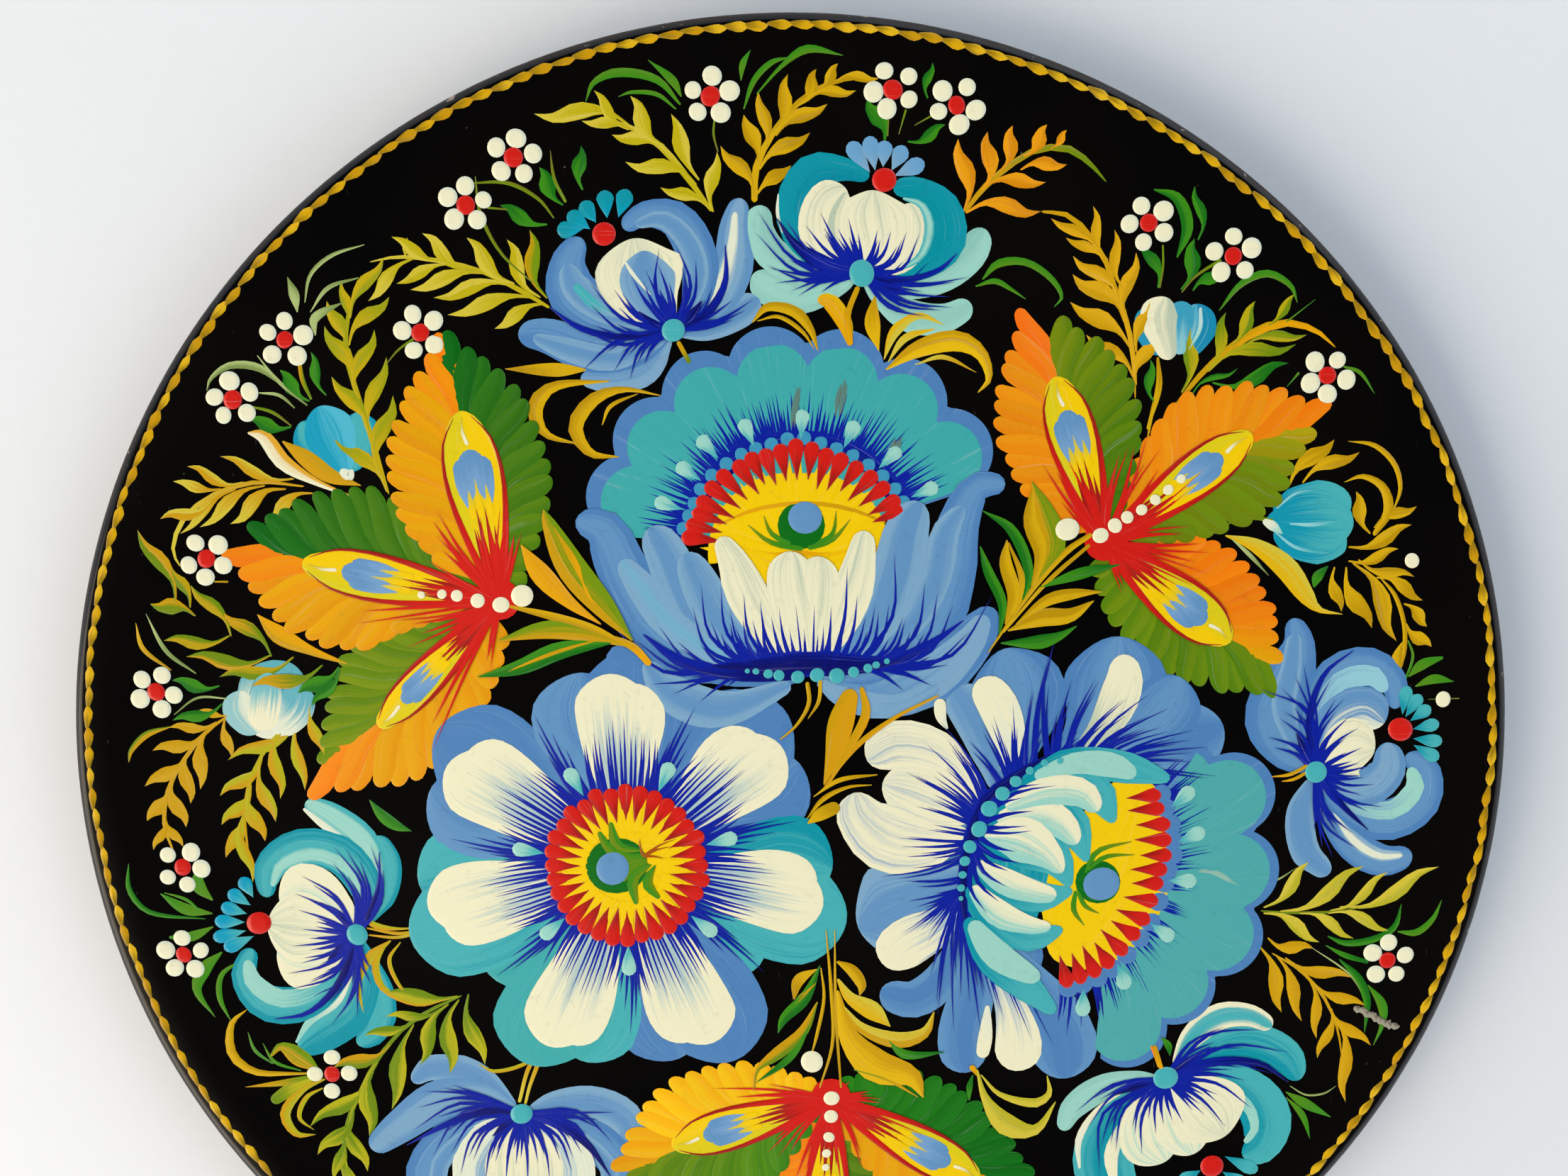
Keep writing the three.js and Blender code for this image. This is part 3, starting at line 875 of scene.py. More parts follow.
    eye = Brushwork("wheelEye", 33)
    ring = 32
    heads = []
    for n in range(ring):
        a = 2 * math.pi * n / ring
        reach = 20.6 * eye.random.uniform(0.97, 1.03)
        heads.append((cx + reach * math.cos(a), cy + reach * math.sin(a)))
        eye.dab([(cx + 11 * math.cos(a), cy + 11 * math.sin(a), 0),
            (cx + 15.6 * math.cos(a), cy + 15.6 * math.sin(a), 2.4),
                 (cx + (reach - 1.4) * math.cos(a), cy + (reach - 1.4) * math.sin(a), 3.9),
                 (cx + reach * math.cos(a), cy + reach * math.sin(a), 3.4)], redPair, "base",
                 11 + n % 2, 10, 4, rise=0.08)
    eye.dot(cx, cy, 18, yolkPair, 10, rise=0.05)
    for n in range(ring):
        a = 2 * math.pi * (n + 0.5) / ring
        far = 16.4 * eye.random.uniform(0.92, 1.06)
        bend = eye.random.uniform(-0.06, 0.06)
        eye.dab([(cx + 9 * math.cos(a), cy + 9 * math.sin(a), 3.2),
            (cx + 13 * math.cos(a + bend), cy + 13 * math.sin(a + bend), 1.5),
                 (cx + far * math.cos(a), cy + far * math.sin(a), 0)], yolkPair, "plain", 13, 6, 2)
    eye.dot(-43.2, -27.6, 7.4, (green, tint(16, 96, 18)), 14, rise=0.05)
    commas = [((-36.4, -24.6), (-47.6, -18.8), 0.28), ((-36.2, -24.8), (-46, -21.4), 0.22),
        ((-36.2, -25.2), (-43.6, -23.4), 0.15),
              ((-36.6, -23.8), (-44.6, -16.4), 0.3), ((-35.6, -26), (-41.4, -27.6), -0.1),
              ((-35.6, -26.6), (-41.6, -31.6), -0.2),
              ((-35.2, -27), (-39.6, -35), -0.22), ((-34.6, -27.2), (-38.4, -37.6), -0.26),
              ((-33.6, -27.4), (-32.6, -36), -0.3)]
    for start, end, bend in commas:
        mx = (start[0] + end[0]) / 2 - (end[1] - start[1]) * bend
        my = (start[1] + end[1]) / 2 + (end[0] - start[0]) * bend
        eye.dab([(*start, 0.4), (mx, my, 2.7), (*end, 1.1)], (leafGreen, olive), "left", 15, 9, 3)
    for end in ((-28.0, -20.6), (-29.4, -22.6), (-31.2, -25.8), (-37.4, -20.4)):
        eye.hair((-36.6, -25.2), end, 0.06, 0.7, (tint(170, 80, 10),), 16)
    eye.dot(-44.2, -28.3, 4.15, (deepSky, sky), 17, rise=0.14)
    eye.done()


def paintShellBlossom():
    # the half-open blossom at the lower right, with cream tongues curling over its eye
    back = Brushwork("shellBackPetals", 41)
    wide = [
        ([(52, 27, 13), (55, 16, 24), (54, 2, 14), (51, -10, 3)], petalPair, "heart"),
        ([(80, 30, 17), (79, 17, 25), (74, 5, 16), (64, -5, 4)], petalPair, "heart"),
        ([(95, 20, 14), (91, 12, 18), (82, 3, 10), (68, -4, 3)], petalPair, "heart"),
        ([(106, 8, 15), (96, 4, 18), (84, 0, 10), (72, -4, 3)], skyPair, "heart"),
        ([(100, -5, 12), (92, -3, 12), (80, -3, 6)], petalPair, "heart"),
        ([(17, -44, 19), (25, -40.6, 26), (36, -35, 18), (45, -30, 5)], (sky, deepSky), "heart"),
        ([(22.5, -60.5, 7), (31, -62.5, 10), (38, -57, 9), (43, -44, 3)], skyPair, "heart"),
        ([(44.5, -82, 11), (43.5, -72, 13), (46, -58, 10), (45, -42, 3)], skyPair, "heart"),
        ([(70, -83.5, 15), (68, -72, 18), (58, -56, 10), (47, -42, 3)], skyPair, "heart"),
        ([(40, 17.5, 9), (45, 10, 11), (49, 0, 8), (50, -8, 2)], (sky, deepSky), "heart"),
    ]
    back.dab([(40, -6, 8), (47, -22, 18), (48, -40, 22), (58, -60, 20)], petalPair, "heart", 3,
        16, 6)
    for n, (points, colours, blend) in enumerate(wide):
        back.dab(points, colours, blend, 4 + n % 3, 20, 6)
    back.done()

    front = Brushwork("shellCreamPetals", 42)
    pale = [
        ([(18.8, -1, 8), (26, 3, 12.5), (36, 1, 11), (45, -7, 5), (48, -12, 1)],
        (cream, tint(150, 176, 196)), "veins"),
        ([(15.6, -9, 8), (17.4, -15, 13), (24, -20.6, 17), (34, -22, 13), (44, -19, 3)],
        (cream, tint(150, 176, 196)), "veins"),
        ([(22.6, -6.6, 9), (30, -8.4, 15), (39, -12, 13), (47, -15, 3)], (cream, tint(170, 190, 196)),
        "veins"),
        ([(45.8, 19.4, 7), (50.6, 13, 10), (53.6, 4, 7.5), (52.6, -4, 2)], creamPair, "tip"),
        ([(81, 25.6, 6), (81.2, 18, 9.5), (77, 8, 8), (70, 1, 2)], shadedPair, "tip"),
        ([(24, -54, 10), (28, -48.5, 13), (36, -43.5, 10), (43.5, -36, 2)], (cream, tint(150, 180, 200)),
        "tip"),
        ([(57, -81.5, 11), (57.5, -73, 11.5), (54.4, -62, 7), (48, -50, 2)], (cream, sky), "tip"),
        ([(48.4, -78, 3), (49.2, -72, 3.6), (49.6, -64, 1)], creamPair, "tip"),
        ([(36.4, 14.6, 3), (36.8, 10, 2.6), (38.4, 7, 0.5)], creamPair, "tip"),
    ]
    for n, (points, colours, blend) in enumerate(pale):
        front.dab(points, colours, blend, 8 + n % 2, 16, 6)
    neck = smoothPath([(42.8, -38), (43.4, -28), (46, -19), (49, -12.5), (54, -7), (60, -2.6), (70, 1),
        (82, 1.2), (93, -3)])[0]
    for start, ends in (
        ((45.5, -18), ((27, -27, 0.1), (30, -23.6, 0.06), (28.6, -20, 0.04), (31, -17, 0),
        (30, -12.5, -0.06), (33, -9, -0.08),
                       (30.6, -5, -0.12), (34.6, -4.6, -0.1), (36.5, -0.6, -0.14), (38.6, 6, -0.18),
                       (41, 1.6, -0.14), (26, -30.4, 0.14))),
        ((51, -9), ((47.2, 7.4, -0.06), (44, 3, -0.1), (49.6, 9, -0.02), (51.8, 6.4, 0), (53.6, 9.6, 0.02),
        (55.4, 5, 0.03), (57.6, 8, 0.04),
                    (59.8, 14, 0.06), (63.6, 23, 0.1), (61.4, 8, 0.08))),
        ((60, -3), ((66, 11, 0.1), (68, 15, 0.1), (71.6, 13, 0.12), (74, 16.6, 0.12), (76.8, 9.6, 0.14),
        (80, 12, 0.14), (83.6, 12.2, 0.16),
                    (86, 9, 0.16), (89, 10, 0.16), (91.6, 6.6, 0.16), (95, 5, 0.14), (98.6, 1.6, 0.12),
                    (97, -2, 0.1), (93, 2.2, 0.14),
                    (71, 6.4, 0.1), (63, 17.6, 0.08), (99.6, -4.4, 0.06))),
        ((42.8, -30), ((31, -37, 0.06), (28.6, -40.4, 0.06), (33, -41, 0.04), (30.4, -44.6, 0.04),
        (35, -44, 0.02), (33.6, -48.4, 0),
                       (37.6, -48, 0), (37, -53, -0.04), (40, -54, -0.04), (38, -62, -0.1), (41, -66, -0.1),
                       (28.4, -32.4, 0.1))),
        ((44, -42), ((46, -62, 0.02), (48.4, -67, 0.02), (50.6, -61, 0.04), (52.6, -66, 0.05),
        (54.6, -62, 0.06), (57, -66.4, 0.08),
                     (59.4, -63, 0.1), (63, -68, 0.12), (43.4, -58, -0.02), (47, -56, 0.02),
                     (56, -58, 0.1))),
    ):
        for x, y, bend in ends:
            near = min((neck(t / 40)[:2] for t in range(41)), key=lambda spot: math.dist(spot, (x, y)))
            foot = Vector(near).lerp(Vector(start), 0.5)
            for _ in range(3):
                part = front.random.uniform(0.6, 1.25)
                shift = Vector((front.random.uniform(-1.3, 1.3), front.random.uniform(-1.3, 1.3)))
                far = foot + (Vector((x, y)) - foot) * part + shift
                front.hair(tuple(foot + shift * 0.5), tuple(far), bend * 0.4, 1.0, inkPair,
                    10, 9)
    front.dab([(64, 0.6, 0.6), (56, -4.4, 2.6), (48.6, -11, 4.2), (45.4, -19, 4.4), (43.2, -28, 3),
        (43, -38, 2.2), (46, -50, 0.6)],
              nightPair, "rim", 11, 18, 4)
    front.done()

    fan = Brushwork("shellFan", 43)
    centre = (80, -33)
    outer = [(109, -9.5, 10.6), (110.6, -29, 10.8), (107.8, -46, 10.4), (96.6, -59, 10.2), (85, -70.6, 10),
        (97, -4, 8)]
    inner = [(108, -10.2, 9.6), (109.6, -29.2, 9.8), (106.6, -45.6, 9.5), (95.8, -58.4, 9.3),
        (84.4, -69.8, 9.2), (96, -6, 8)]
    fan.sheet(centre, lobedReach(centre, outer), (62, -92), petalPair, 6, 6, 150)
    fan.sheet(centre, lobedReach(centre, inner), (60, -94), (tint(80, 172, 170), tint(70, 168, 166)), 7, 6,
        150)
    heads = [(90.4, -9.6), (91.4, -13), (93, -17), (93.4, -21), (93.6, -25), (92.6, -28.6), (91.8, -32.2),
        (90.6, -36.8),
             (88.8, -41.8), (86.4, -45.8), (83.4, -50), (80, -53.4), (76.6, -55.8), (73, -57.4),
             (69.6, -58.4)]
    for x, y in heads:
        for _ in range(9):
            dx, dy = x - 72, y + 30
            run = math.hypot(dx, dy)
            sx, sy = x + fan.random.uniform(-1.6, 1.6), y + fan.random.uniform(-1.9, 1.9)
            far = fan.random.uniform(5, 12.5)
            fan.hair((sx, sy), (sx + dx / run * far, sy + dy / run * far), 0.02, 0.85,
                inkPair, 8)
    for x, y in ((97.6, -9.4), (100.4, -19.6), (98.6, -31.6), (93.8, -45.4), (83.6, -57.6), (73.6, -64.6)):
        dx, dy = x - 74, y + 31
        run = math.hypot(dx, dy)
        fan.dab([(x + dx / run * 2.4, y + dy / run * 2.4, 3.2), (x, y, 3.8),
            (x - dx / run * 5, y - dy / run * 5, 0)],
                (paleAqua, lagoon), "tip", 9, 8, 4, rise=0.09)
    dullStreak(fan, [(101.6, -29, 0.4), (105, -29.8, 2.2), (110.8, -32.4, 0.2)],
        (tint(150, 190, 172), tint(104, 180, 170)), 8)
    fan.done()

    eye = Brushwork("shellEye", 44)
    eye.dab([(88, -6, 10), (84, -14, 20), (80, -28, 30), (73, -44, 26), (66, -52, 10)], yolkPair,
        "plain", 9, 18, 6)
    for x, y in heads:
        dx, dy = x - 76, y + 31
        run = math.hypot(dx, dy)
        sx, sy = -dy / run * 1.9, dx / run * 1.9
        eye.dab([(x - dx / run * 9 + sx, y - dy / run * 9 + sy, 3.4),
            (x - dx / run * 3.5 + sx, y - dy / run * 3.5 + sy, 0)],
                (yellow,), "plain", 9, 6, 2)
    for x, y in heads:
        turn = math.radians(180 + max(0, y + 20) * 0.6 - 72 * max(0, (-32 - y) / 26) ** 1.3)
        out = 1.1
        x, y = x - math.cos(turn) * out, y - math.sin(turn) * out
        eye.dot(x, y, 2.5, petalPair, 9, rise=0.08)
        tears(eye, [(x, y)], (x + math.cos(turn), y + math.sin(turn)), 8.8, 3.9, redPair, 10)
    for points in (((73, -30, 1), (76, -24, 1.4), (84.6, -21.4, 0.2)),
        ((73.6, -29, 1), (78, -25.4, 1.2), (85.4, -24.8, 0.2)),
                   ((71, -34, 1), (70.6, -39, 1.4), (73.4, -43.2, 0.2)),
                   ((71.6, -34.4, 1), (73.4, -38, 1.2), (77, -40, 0.2))):
        eye.dab(points, (leafGreen, olive), "tip", 11, 10, 3)
    eye.dot(76.4, -31.8, 5.6, (green, leafGreen), 11, rise=0.05)
    eye.dot(77.3, -32.3, 4.4, (deepSky, sky), 13, rise=0.14)
    tongues = [
        ([(57, -6, 2), (68, -1.4, 7), (82, -2.6, 8), (93.4, -5.6, 2.4)],
        [(60, -5, 2), (70, -1.6, 5), (79, -2, 5.4), (85, -4.6, 2.6)]),
        ([(50, -13, 3), (63, -8, 10), (74.6, -8.6, 10), (80, -16.6, 2)],
        [(53, -12.6, 3), (63, -8.6, 6.4), (71.6, -9, 6.4), (76, -13.6, 3)]),
        ([(49, -16, 4), (60, -13.6, 11), (69, -17, 10), (73.6, -26.6, 1.6)],
        [(51, -16, 3), (60, -14, 7.6), (67, -17, 6.6), (71, -22, 3)]),
        ([(46.6, -21, 4), (57, -21, 14), (65.6, -26, 9), (69.6, -33, 1.6)],
        [(48, -20, 3), (57, -20.6, 10.6), (64, -25, 6.6), (67.4, -29.4, 2)]),
        ([(45, -27, 4), (53.6, -32.6, 8), (62, -35.6, 8), (70.2, -34, 2)],
        [(46, -27, 3), (54, -32, 6), (61, -34.4, 5), (66.2, -35.4, 3)]),
        ([(44, -33, 3), (51, -41, 8), (60, -46, 8), (68, -44, 2)],
        [(45, -33, 3), (52, -40, 6), (60, -43, 4), (65, -43.4, 2)]),
        ([(44, -41, 3), (50, -51.6, 8), (58, -58, 8), (66.6, -66, 3)],
        [(45, -42, 3), (51.6, -50.6, 6.6), (59, -55.4, 4.6), (62.6, -57, 2.6)]),
    ]
    eye.dab([(54, -11, 8), (53.6, -22, 20), (53, -36, 20), (55, -48, 12)], seaPair, "veins", 10,
        14, 6)
    for n, (edge, heart) in enumerate(tongues):
        heart = [(x, y, w * 1.14) for x, y, w in heart]
        eye.dab(edge, seaPair, "tip", 12 + n % 2, 14, 6)
        eye.dab(heart, (cream if n in (1, 2, 3, 4, 5) else paleAqua, paleAqua), "right", 14 + n % 2, 14, 5)
    for x, y, bend in ((62, -6.6, 0.14), (66, -7, 0.1), (58, -10, 0.1), (60, -13.6, 0.06), (58.6, -17.4, 0),
        (60, -18.6, -0.05),
                       (56, -24, -0.08), (57.4, -27, -0.1), (54, -29, -0.12), (53.6, -33, -0.14),
                       (52, -37, -0.16), (49, -40, -0.16)):
        sx = 46.4 if y > -26 else 45
        eye.hair((sx, -19 + (y + 20) * 0.3), (x, y), bend, 1.7, inkPair, 16, 8)
    for x, y, radius in ((66.2, -0.9, 0.8), (62.4, -1.4, 0.9), (58.8, -3.4, 1.0), (55.4, -6.1, 1.45),
        (52.2, -9.2, 1.8), (49, -13, 2.05),
                         (46.6, -18.2, 2.0), (44.4, -22.7, 1.65), (43.2, -26.4, 1.3), (42.7, -29.9, 1.0),
                         (42.4, -33.3, 0.95), (42.4, -36, 0.6)):
        eye.dot(x, y, radius, lagoonPair, 17)
    eye.done()


def featherHalf(work, hub, crown, edge, count, colours, layer, hand):
    # one side of a feather: comma strokes from the rib out to an edge
    # that runs from the longest stroke to the hub
    hub, crown = Vector(hub), Vector(crown)
    at, length = smoothPath(edge)
    gap = length / (count - 1)
    for k in reversed(range(count)):
        u = k / (count - 1)
        x, y = at(u + work.random.uniform(-0.15, 0.15) / count)[:2]
        end = Vector((x, y))
        start = hub.lerp(crown, 0.08 + 0.8 * (1 - u) ** 0.9)
        reach = end - start
        bow = Vector((-reach.y, reach.x)) * hand * 0.07
        wide = gap * work.random.uniform(1.02, 1.14)
        warm = colours[0][0] > colours[0][1]
        turned = min(1, u * 4.5) if warm else u**1.15
        tone = work.random.uniform(0.95, 1.05)
        mixed = [(a * (1 - turned) + b * turned) * tone for a, b in zip(colours[0], colours[1])]
        deep = (1, 0.84, 0.5) if warm else (0.62, 0.84, 0.7)
        shade = [value * part for value, part in zip(mixed, deep)]
        end += reach * (work.random.uniform(0, 0.05) + (0.07 if k == 0 else 0))
        work.dab([(*start, 1.2), (*(start.lerp(end, 0.5) + bow), wide),
            (*start.lerp(end, 0.84), wide * 0.95), (*end, wide * 0.5)],
                 (mixed, shade), "left" if hand < 0 else "right", layer + k % 2, 16, 4, rise=0.035)


def featherEye(work, hub, tip, halfWidth, layer):
    # the yellow almond on a feather, outlined in red, with a blue heart spot and flames
    hub, tip = Vector(hub), Vector(tip)
    axis = tip - hub
    length = axis.length
    fore = axis / length
    side = Vector((-fore.y, fore.x))
    spot = lambda t, s: hub + fore * (t * length) + side * s
    pts = lambda *rows: [(*spot(t, s), w) for t, s, w in rows]
    work.dab(pts((0.05, 0, 2), (0.35, 0, halfWidth * 1.3), (0.7, 0, halfWidth * 2),
        (0.9, 0, halfWidth * 1.35), (1, 0, 3.4)),
             (yellow, tint(226, 206, 20)), "left", layer, 16, 6)
    for hand in (1, -1):
        work.dab(pts((0.0, 0, 2.4), (0.3, hand * halfWidth * 0.62, 1.7),
            (0.62, hand * halfWidth * 1.0, 1.0),
                     (0.84, hand * halfWidth * 0.86, 0.5), (0.97, hand * halfWidth * 0.3, 0.1)),
                     redPair, "tip", layer + 2, 16, 3)
        for s, far in ((0.28, 0.4), (0.12, 0.5)):
            work.dab(pts((0.02, 0, 2.0), (far * 0.6, hand * halfWidth * s, 1.2),
                (far, hand * halfWidth * s * 1.3, 0.05)),
                     redPair, "tip", layer + 2, 8, 2)
    heart = (tint(122, 164, 206), deepSky)
    work.dab(pts((0.5, -halfWidth * 0.4, 0.6), (0.6, -halfWidth * 0.34, halfWidth * 0.66),
        (0.76, -halfWidth * 0.3, halfWidth * 0.8)), heart,
             "tip", layer + 2, 8, 4)
    work.dab(pts((0.5, halfWidth * 0.4, 0.6), (0.6, halfWidth * 0.34, halfWidth * 0.66),
        (0.76, halfWidth * 0.3, halfWidth * 0.8)), heart,
             "tip", layer + 2, 8, 4)
    work.dab(pts((0.56, 0, 2), (0.68, 0, halfWidth * 0.95), (0.8, 0, halfWidth * 0.72)), heart, "tip",
        layer + 2, 8, 4)
    for s, far in ((-0.34, 0.62), (0, 0.66), (0.3, 0.6)):
        work.dab(pts((0.44, halfWidth * s, 1.4), (0.54, halfWidth * s, 1.5), (far, halfWidth * s, 0)),
            (yellow, straw), "tip", layer + 3, 6, 2)
    work.dab(pts((0.82, 0, 0.9), (0.9, halfWidth * 0.1, 0.7), (0.97, 0, 0.1)), (cream, straw), "tip",
        layer + 3, 6, 2)


def redBurst(work, hub, ends, layer):
    for x, y, width in ends:
        bend = work.random.uniform(-0.05, 0.05)
        work.hair(hub, (x, y), bend, width * 0.85, redPair, layer, 8)
        far = Vector(hub).lerp(Vector((x, y)), work.random.uniform(1.0, 1.25))
        turn = work.random.choice((-0.09, 0.09))
        spread = Vector((hub[1] - y, x - hub[0])) * turn
        work.hair(hub, tuple(far + spread), bend, width * 0.5, redPair, layer, 8)


feathers = {
    # name, hub, then a feather per row: almond tip, almond half width,
    # and per side the stroke tips, count and colours
    "feathersLeft": ((-70.5, 38.5), [
        ((-101, 7.5), 4.2, 2,
         ([(-117, -8.6), (-106, -7.4), (-96, -6.4), (-87, -1), (-79.5, 8), (-73.5, 16.4), (-70.4, 27)], 14,
         (tint(246, 140, 20), amber)),
         ([(-115, -0.5), (-114.8, 9), (-111.4, 19), (-108, 27), (-98, 32.6), (-88, 36)], 13,
         (tint(128, 148, 8), tint(110, 140, 8)))),
        ((-118, 48), 5.6, 4,
         ([(-130, 56.4), (-121, 61.4), (-111, 65), (-102, 66), (-94, 62.6), (-86, 56)], 12,
         (green, tint(96, 138, 8))),
         ([(-135.4, 49.6), (-130.6, 41.6), (-124.4, 34), (-115, 28.8), (-104.6, 27.6), (-97, 31.6),
         (-88, 35)], 14, (orange, amber))),
        ((-78.6, 84.4), 6.8, 6,
         ([(-81, 101), (-71, 95.6), (-63, 86), (-58.8, 76), (-58, 66), (-60.4, 55), (-64, 45)], 15,
         (green, tint(108, 142, 8))),
         ([(-83, 100.6), (-90.6, 90), (-95.4, 79), (-96, 69), (-93, 58), (-86, 49.4)], 14,
         (orange, amber))),
    ]),
    "feathersRight": ((75.6, 52.8), [
        ((107, 28.6), 6.0, 2,
         ([(118.6, 24.4), (118, 33.6), (114, 42.6), (108, 49.6), (100, 53.6), (91, 54.6)], 12,
         (amber, orange)),
         ([(119, 16), (105, 16.8), (95, 19.4), (86, 25), (77.6, 33.6), (73, 45)], 14,
         (tint(104, 138, 8), tint(116, 144, 8)))),
        ((110, 79), 5.2, 4,
         ([(124, 79.4), (121, 71.6), (116.6, 62), (107, 56.6), (98, 54.4), (88, 54)], 12,
         (tint(172, 160, 12), tint(112, 142, 8))),
         ([(126.6, 85.6), (114, 90), (103, 90), (93, 87.4), (86, 78), (82, 69)], 13,
         (orange, tint(240, 150, 14)))),
        ((62.6, 92.4), 5.6, 6,
         ([(63.6, 105), (72, 101.6), (79, 94), (83, 84), (82, 74), (79.4, 64)], 12,
         (tint(120, 140, 10), tint(72, 124, 4))),
         ([(54.4, 106.6), (50.6, 95), (48.4, 84), (51, 74), (56.6, 64.4), (65, 57)], 14,
         (tint(254, 124, 24), tint(240, 150, 14)))),
    ]),
    "feathersBottom": ((10.3, -89), [
        ((8.6, -134), 5.6, 2,
         ([(2, -145), (-9, -133), (-12.4, -122), (-11.6, -112), (-7, -101), (0, -94)], 13,
         (orange, tint(250, 140, 14))),
         ([(6, -146), (19, -137), (26, -126), (26.4, -114), (22, -103), (16, -95)], 13, (green, olive))),
        ((48.4, -111), 5.6, 4,
         ([(63, -116), (53, -124), (42, -127), (31, -122), (23, -112), (16, -100)], 13, (orange, amber)),
         ([(64, -113), (58, -103), (49, -91), (38, -84), (26, -80.6), (15, -83)], 15,
         (green, tint(40, 130, 14)))),
        ((-30.4, -101.6), 5.4, 6,
         ([(-44, -107), (-40.6, -97), (-33, -86), (-22, -80.6), (-8, -79.4), (4, -83.6)], 15,
         (amber, tint(250, 196, 10))),
         ([(-42, -113), (-31, -118), (-19, -119), (-8, -114), (0, -104), (5, -95)], 13,
         (olive, leafGreen))),
    ]),
}
bursts = {
    "feathersLeft": [(-86, 58, 3), (-84, 51, 2.4), (-86, 46, 2), (-90, 40.6, 3), (-104, 36.2, 1.8),
    (-92, 33, 1.8), (-90, 30.6, 2), (-84, 28, 1.6),
                     (-88, 8, 2.2), (-74, 24, 2.4), (-78, 34, 3), (-71, 54, 5), (-66.5, 55, 3),
                     (-68, 60, 2), (-75.5, 56, 3), (-80, 52, 2.5)],
    "feathersRight": [(63.6, 70, 2.6), (65.8, 63.6, 2.2), (69, 70, 3), (78.4, 74, 2.4), (82, 76, 2),
    (84.6, 72, 1.8), (88, 70.6, 2), (97.4, 67, 1.6),
                      (94.4, 55, 2.2), (99, 52.6, 2), (98, 48, 1.6), (88, 45.6, 2.2), (80.6, 42, 2),
                      (93.6, 42.4, 1.8), (74, 60, 5), (84, 58, 5), (80, 47, 5)],
    "feathersBottom": [(-14, -88.4, 2.2), (-6, -86.4, 2), (0, -86.6, 2), (20, -86.8, 2.2), (14, -84.6, 2),
    (23, -90, 2), (-4, -100, 3), (24, -99, 2.6), (30, -95.4, 2.2),
                       (4, -108, 3), (14, -108, 3), (18, -104, 2), (0, -103, 2)],
}
pearls = {
    "feathersLeft": [(-65, 40, 2.7), (-70.2, 37.8, 2.0), (-75.8, 38.8, 1.75), (-80.8, 40, 1.45),
    (-84.4, 40.4, 1.15), (-89.4, 40.2, 0.9)],
    "feathersRight": [(66.5, 56.1, 2.8), (74.5, 54.6, 1.9), (77.9, 57, 1.75), (80.8, 59, 1.5),
    (84.2, 60.8, 1.35), (87.4, 63.2, 1.3), (90.4, 65.6, 1.25), (93.4, 68.2, 1.1)],
    "feathersBottom": [(5.4, -78.9, 2.85), (10.4, -88.7, 1.95), (10.3, -93.6, 1.75), (9.8, -99.2, 1.4),
    (9.2, -103.6, 1.15), (9, -107.4, 0.95)],
}


def paintFeathers():
    for seed, (name, (hub, rows)) in enumerate(feathers.items()):
        work = Brushwork(name, 51 + seed)
        for tip, wide, layer, *sides in rows:
            axis = Vector(tip) - Vector(hub)
            for edge, count, colours in sides:
                first = Vector(edge[len(edge) // 2]) - Vector(hub)
                hand = -1 if axis.x * first.y - axis.y * first.x > 0 else 1
                featherHalf(work, hub, tip, edge, count, colours, layer, hand)
        for tip, wide, layer, *sides in rows:
            featherEye(work, hub, tip, wide, 9)
        redBurst(work, hub, bursts[name], 12)
        work.dot(hub[0], hub[1] + 0.6, 5, (red, tint(190, 22, 12)), 12, rise=0.03)
        for x, y, radius in pearls[name]:
            work.dot(x, y, radius, creamPair, 14)
        work.done()


def petals(work, rows):
    # rows of points, colours, blend and layer; big petals get a finer grid
    for points, colours, blend, layer in rows:
        broad = max(p[2] for p in points) > 6
        work.dab(points, colours, blend, layer, 24 if broad else 16, 6 if broad else 4)


def sweptHairs(work, base, ends, width=2.2, layer=9, colours=inkPair):
    # dark hairs out of the base of a flower: end place and sideways sweep, each with a shorter one beside it
    for x, y, bend in ends:
        dx, dy = x - base[0], y - base[1]
        start = (base[0] + dx * 0.05, base[1] + dy * 0.05)
        work.hair(start, (x + dx * 0.14, y + dy * 0.14), bend * 1.4, width * 0.6, colours, layer, 12)
        turn = work.random.choice((-0.1, 0.1))
        part = work.random.uniform(0.7, 0.95)
        work.hair(start, (base[0] + (dx - dy * turn) * part, base[1] + (dy + dx * turn) * part), bend * 1.1,
            width * 0.66,
                  colours, layer, 10)


def tipDrops(work, drops, width, colours, layer=6):
    for x, y, tx, ty in drops:
        work.dab([(x, y, width * 0.75), (x + (tx - x) * 0.35, y + (ty - y) * 0.35, width), (tx, ty, 0)],
            colours, "tip",
                 layer, 8, 4, rise=0.1)


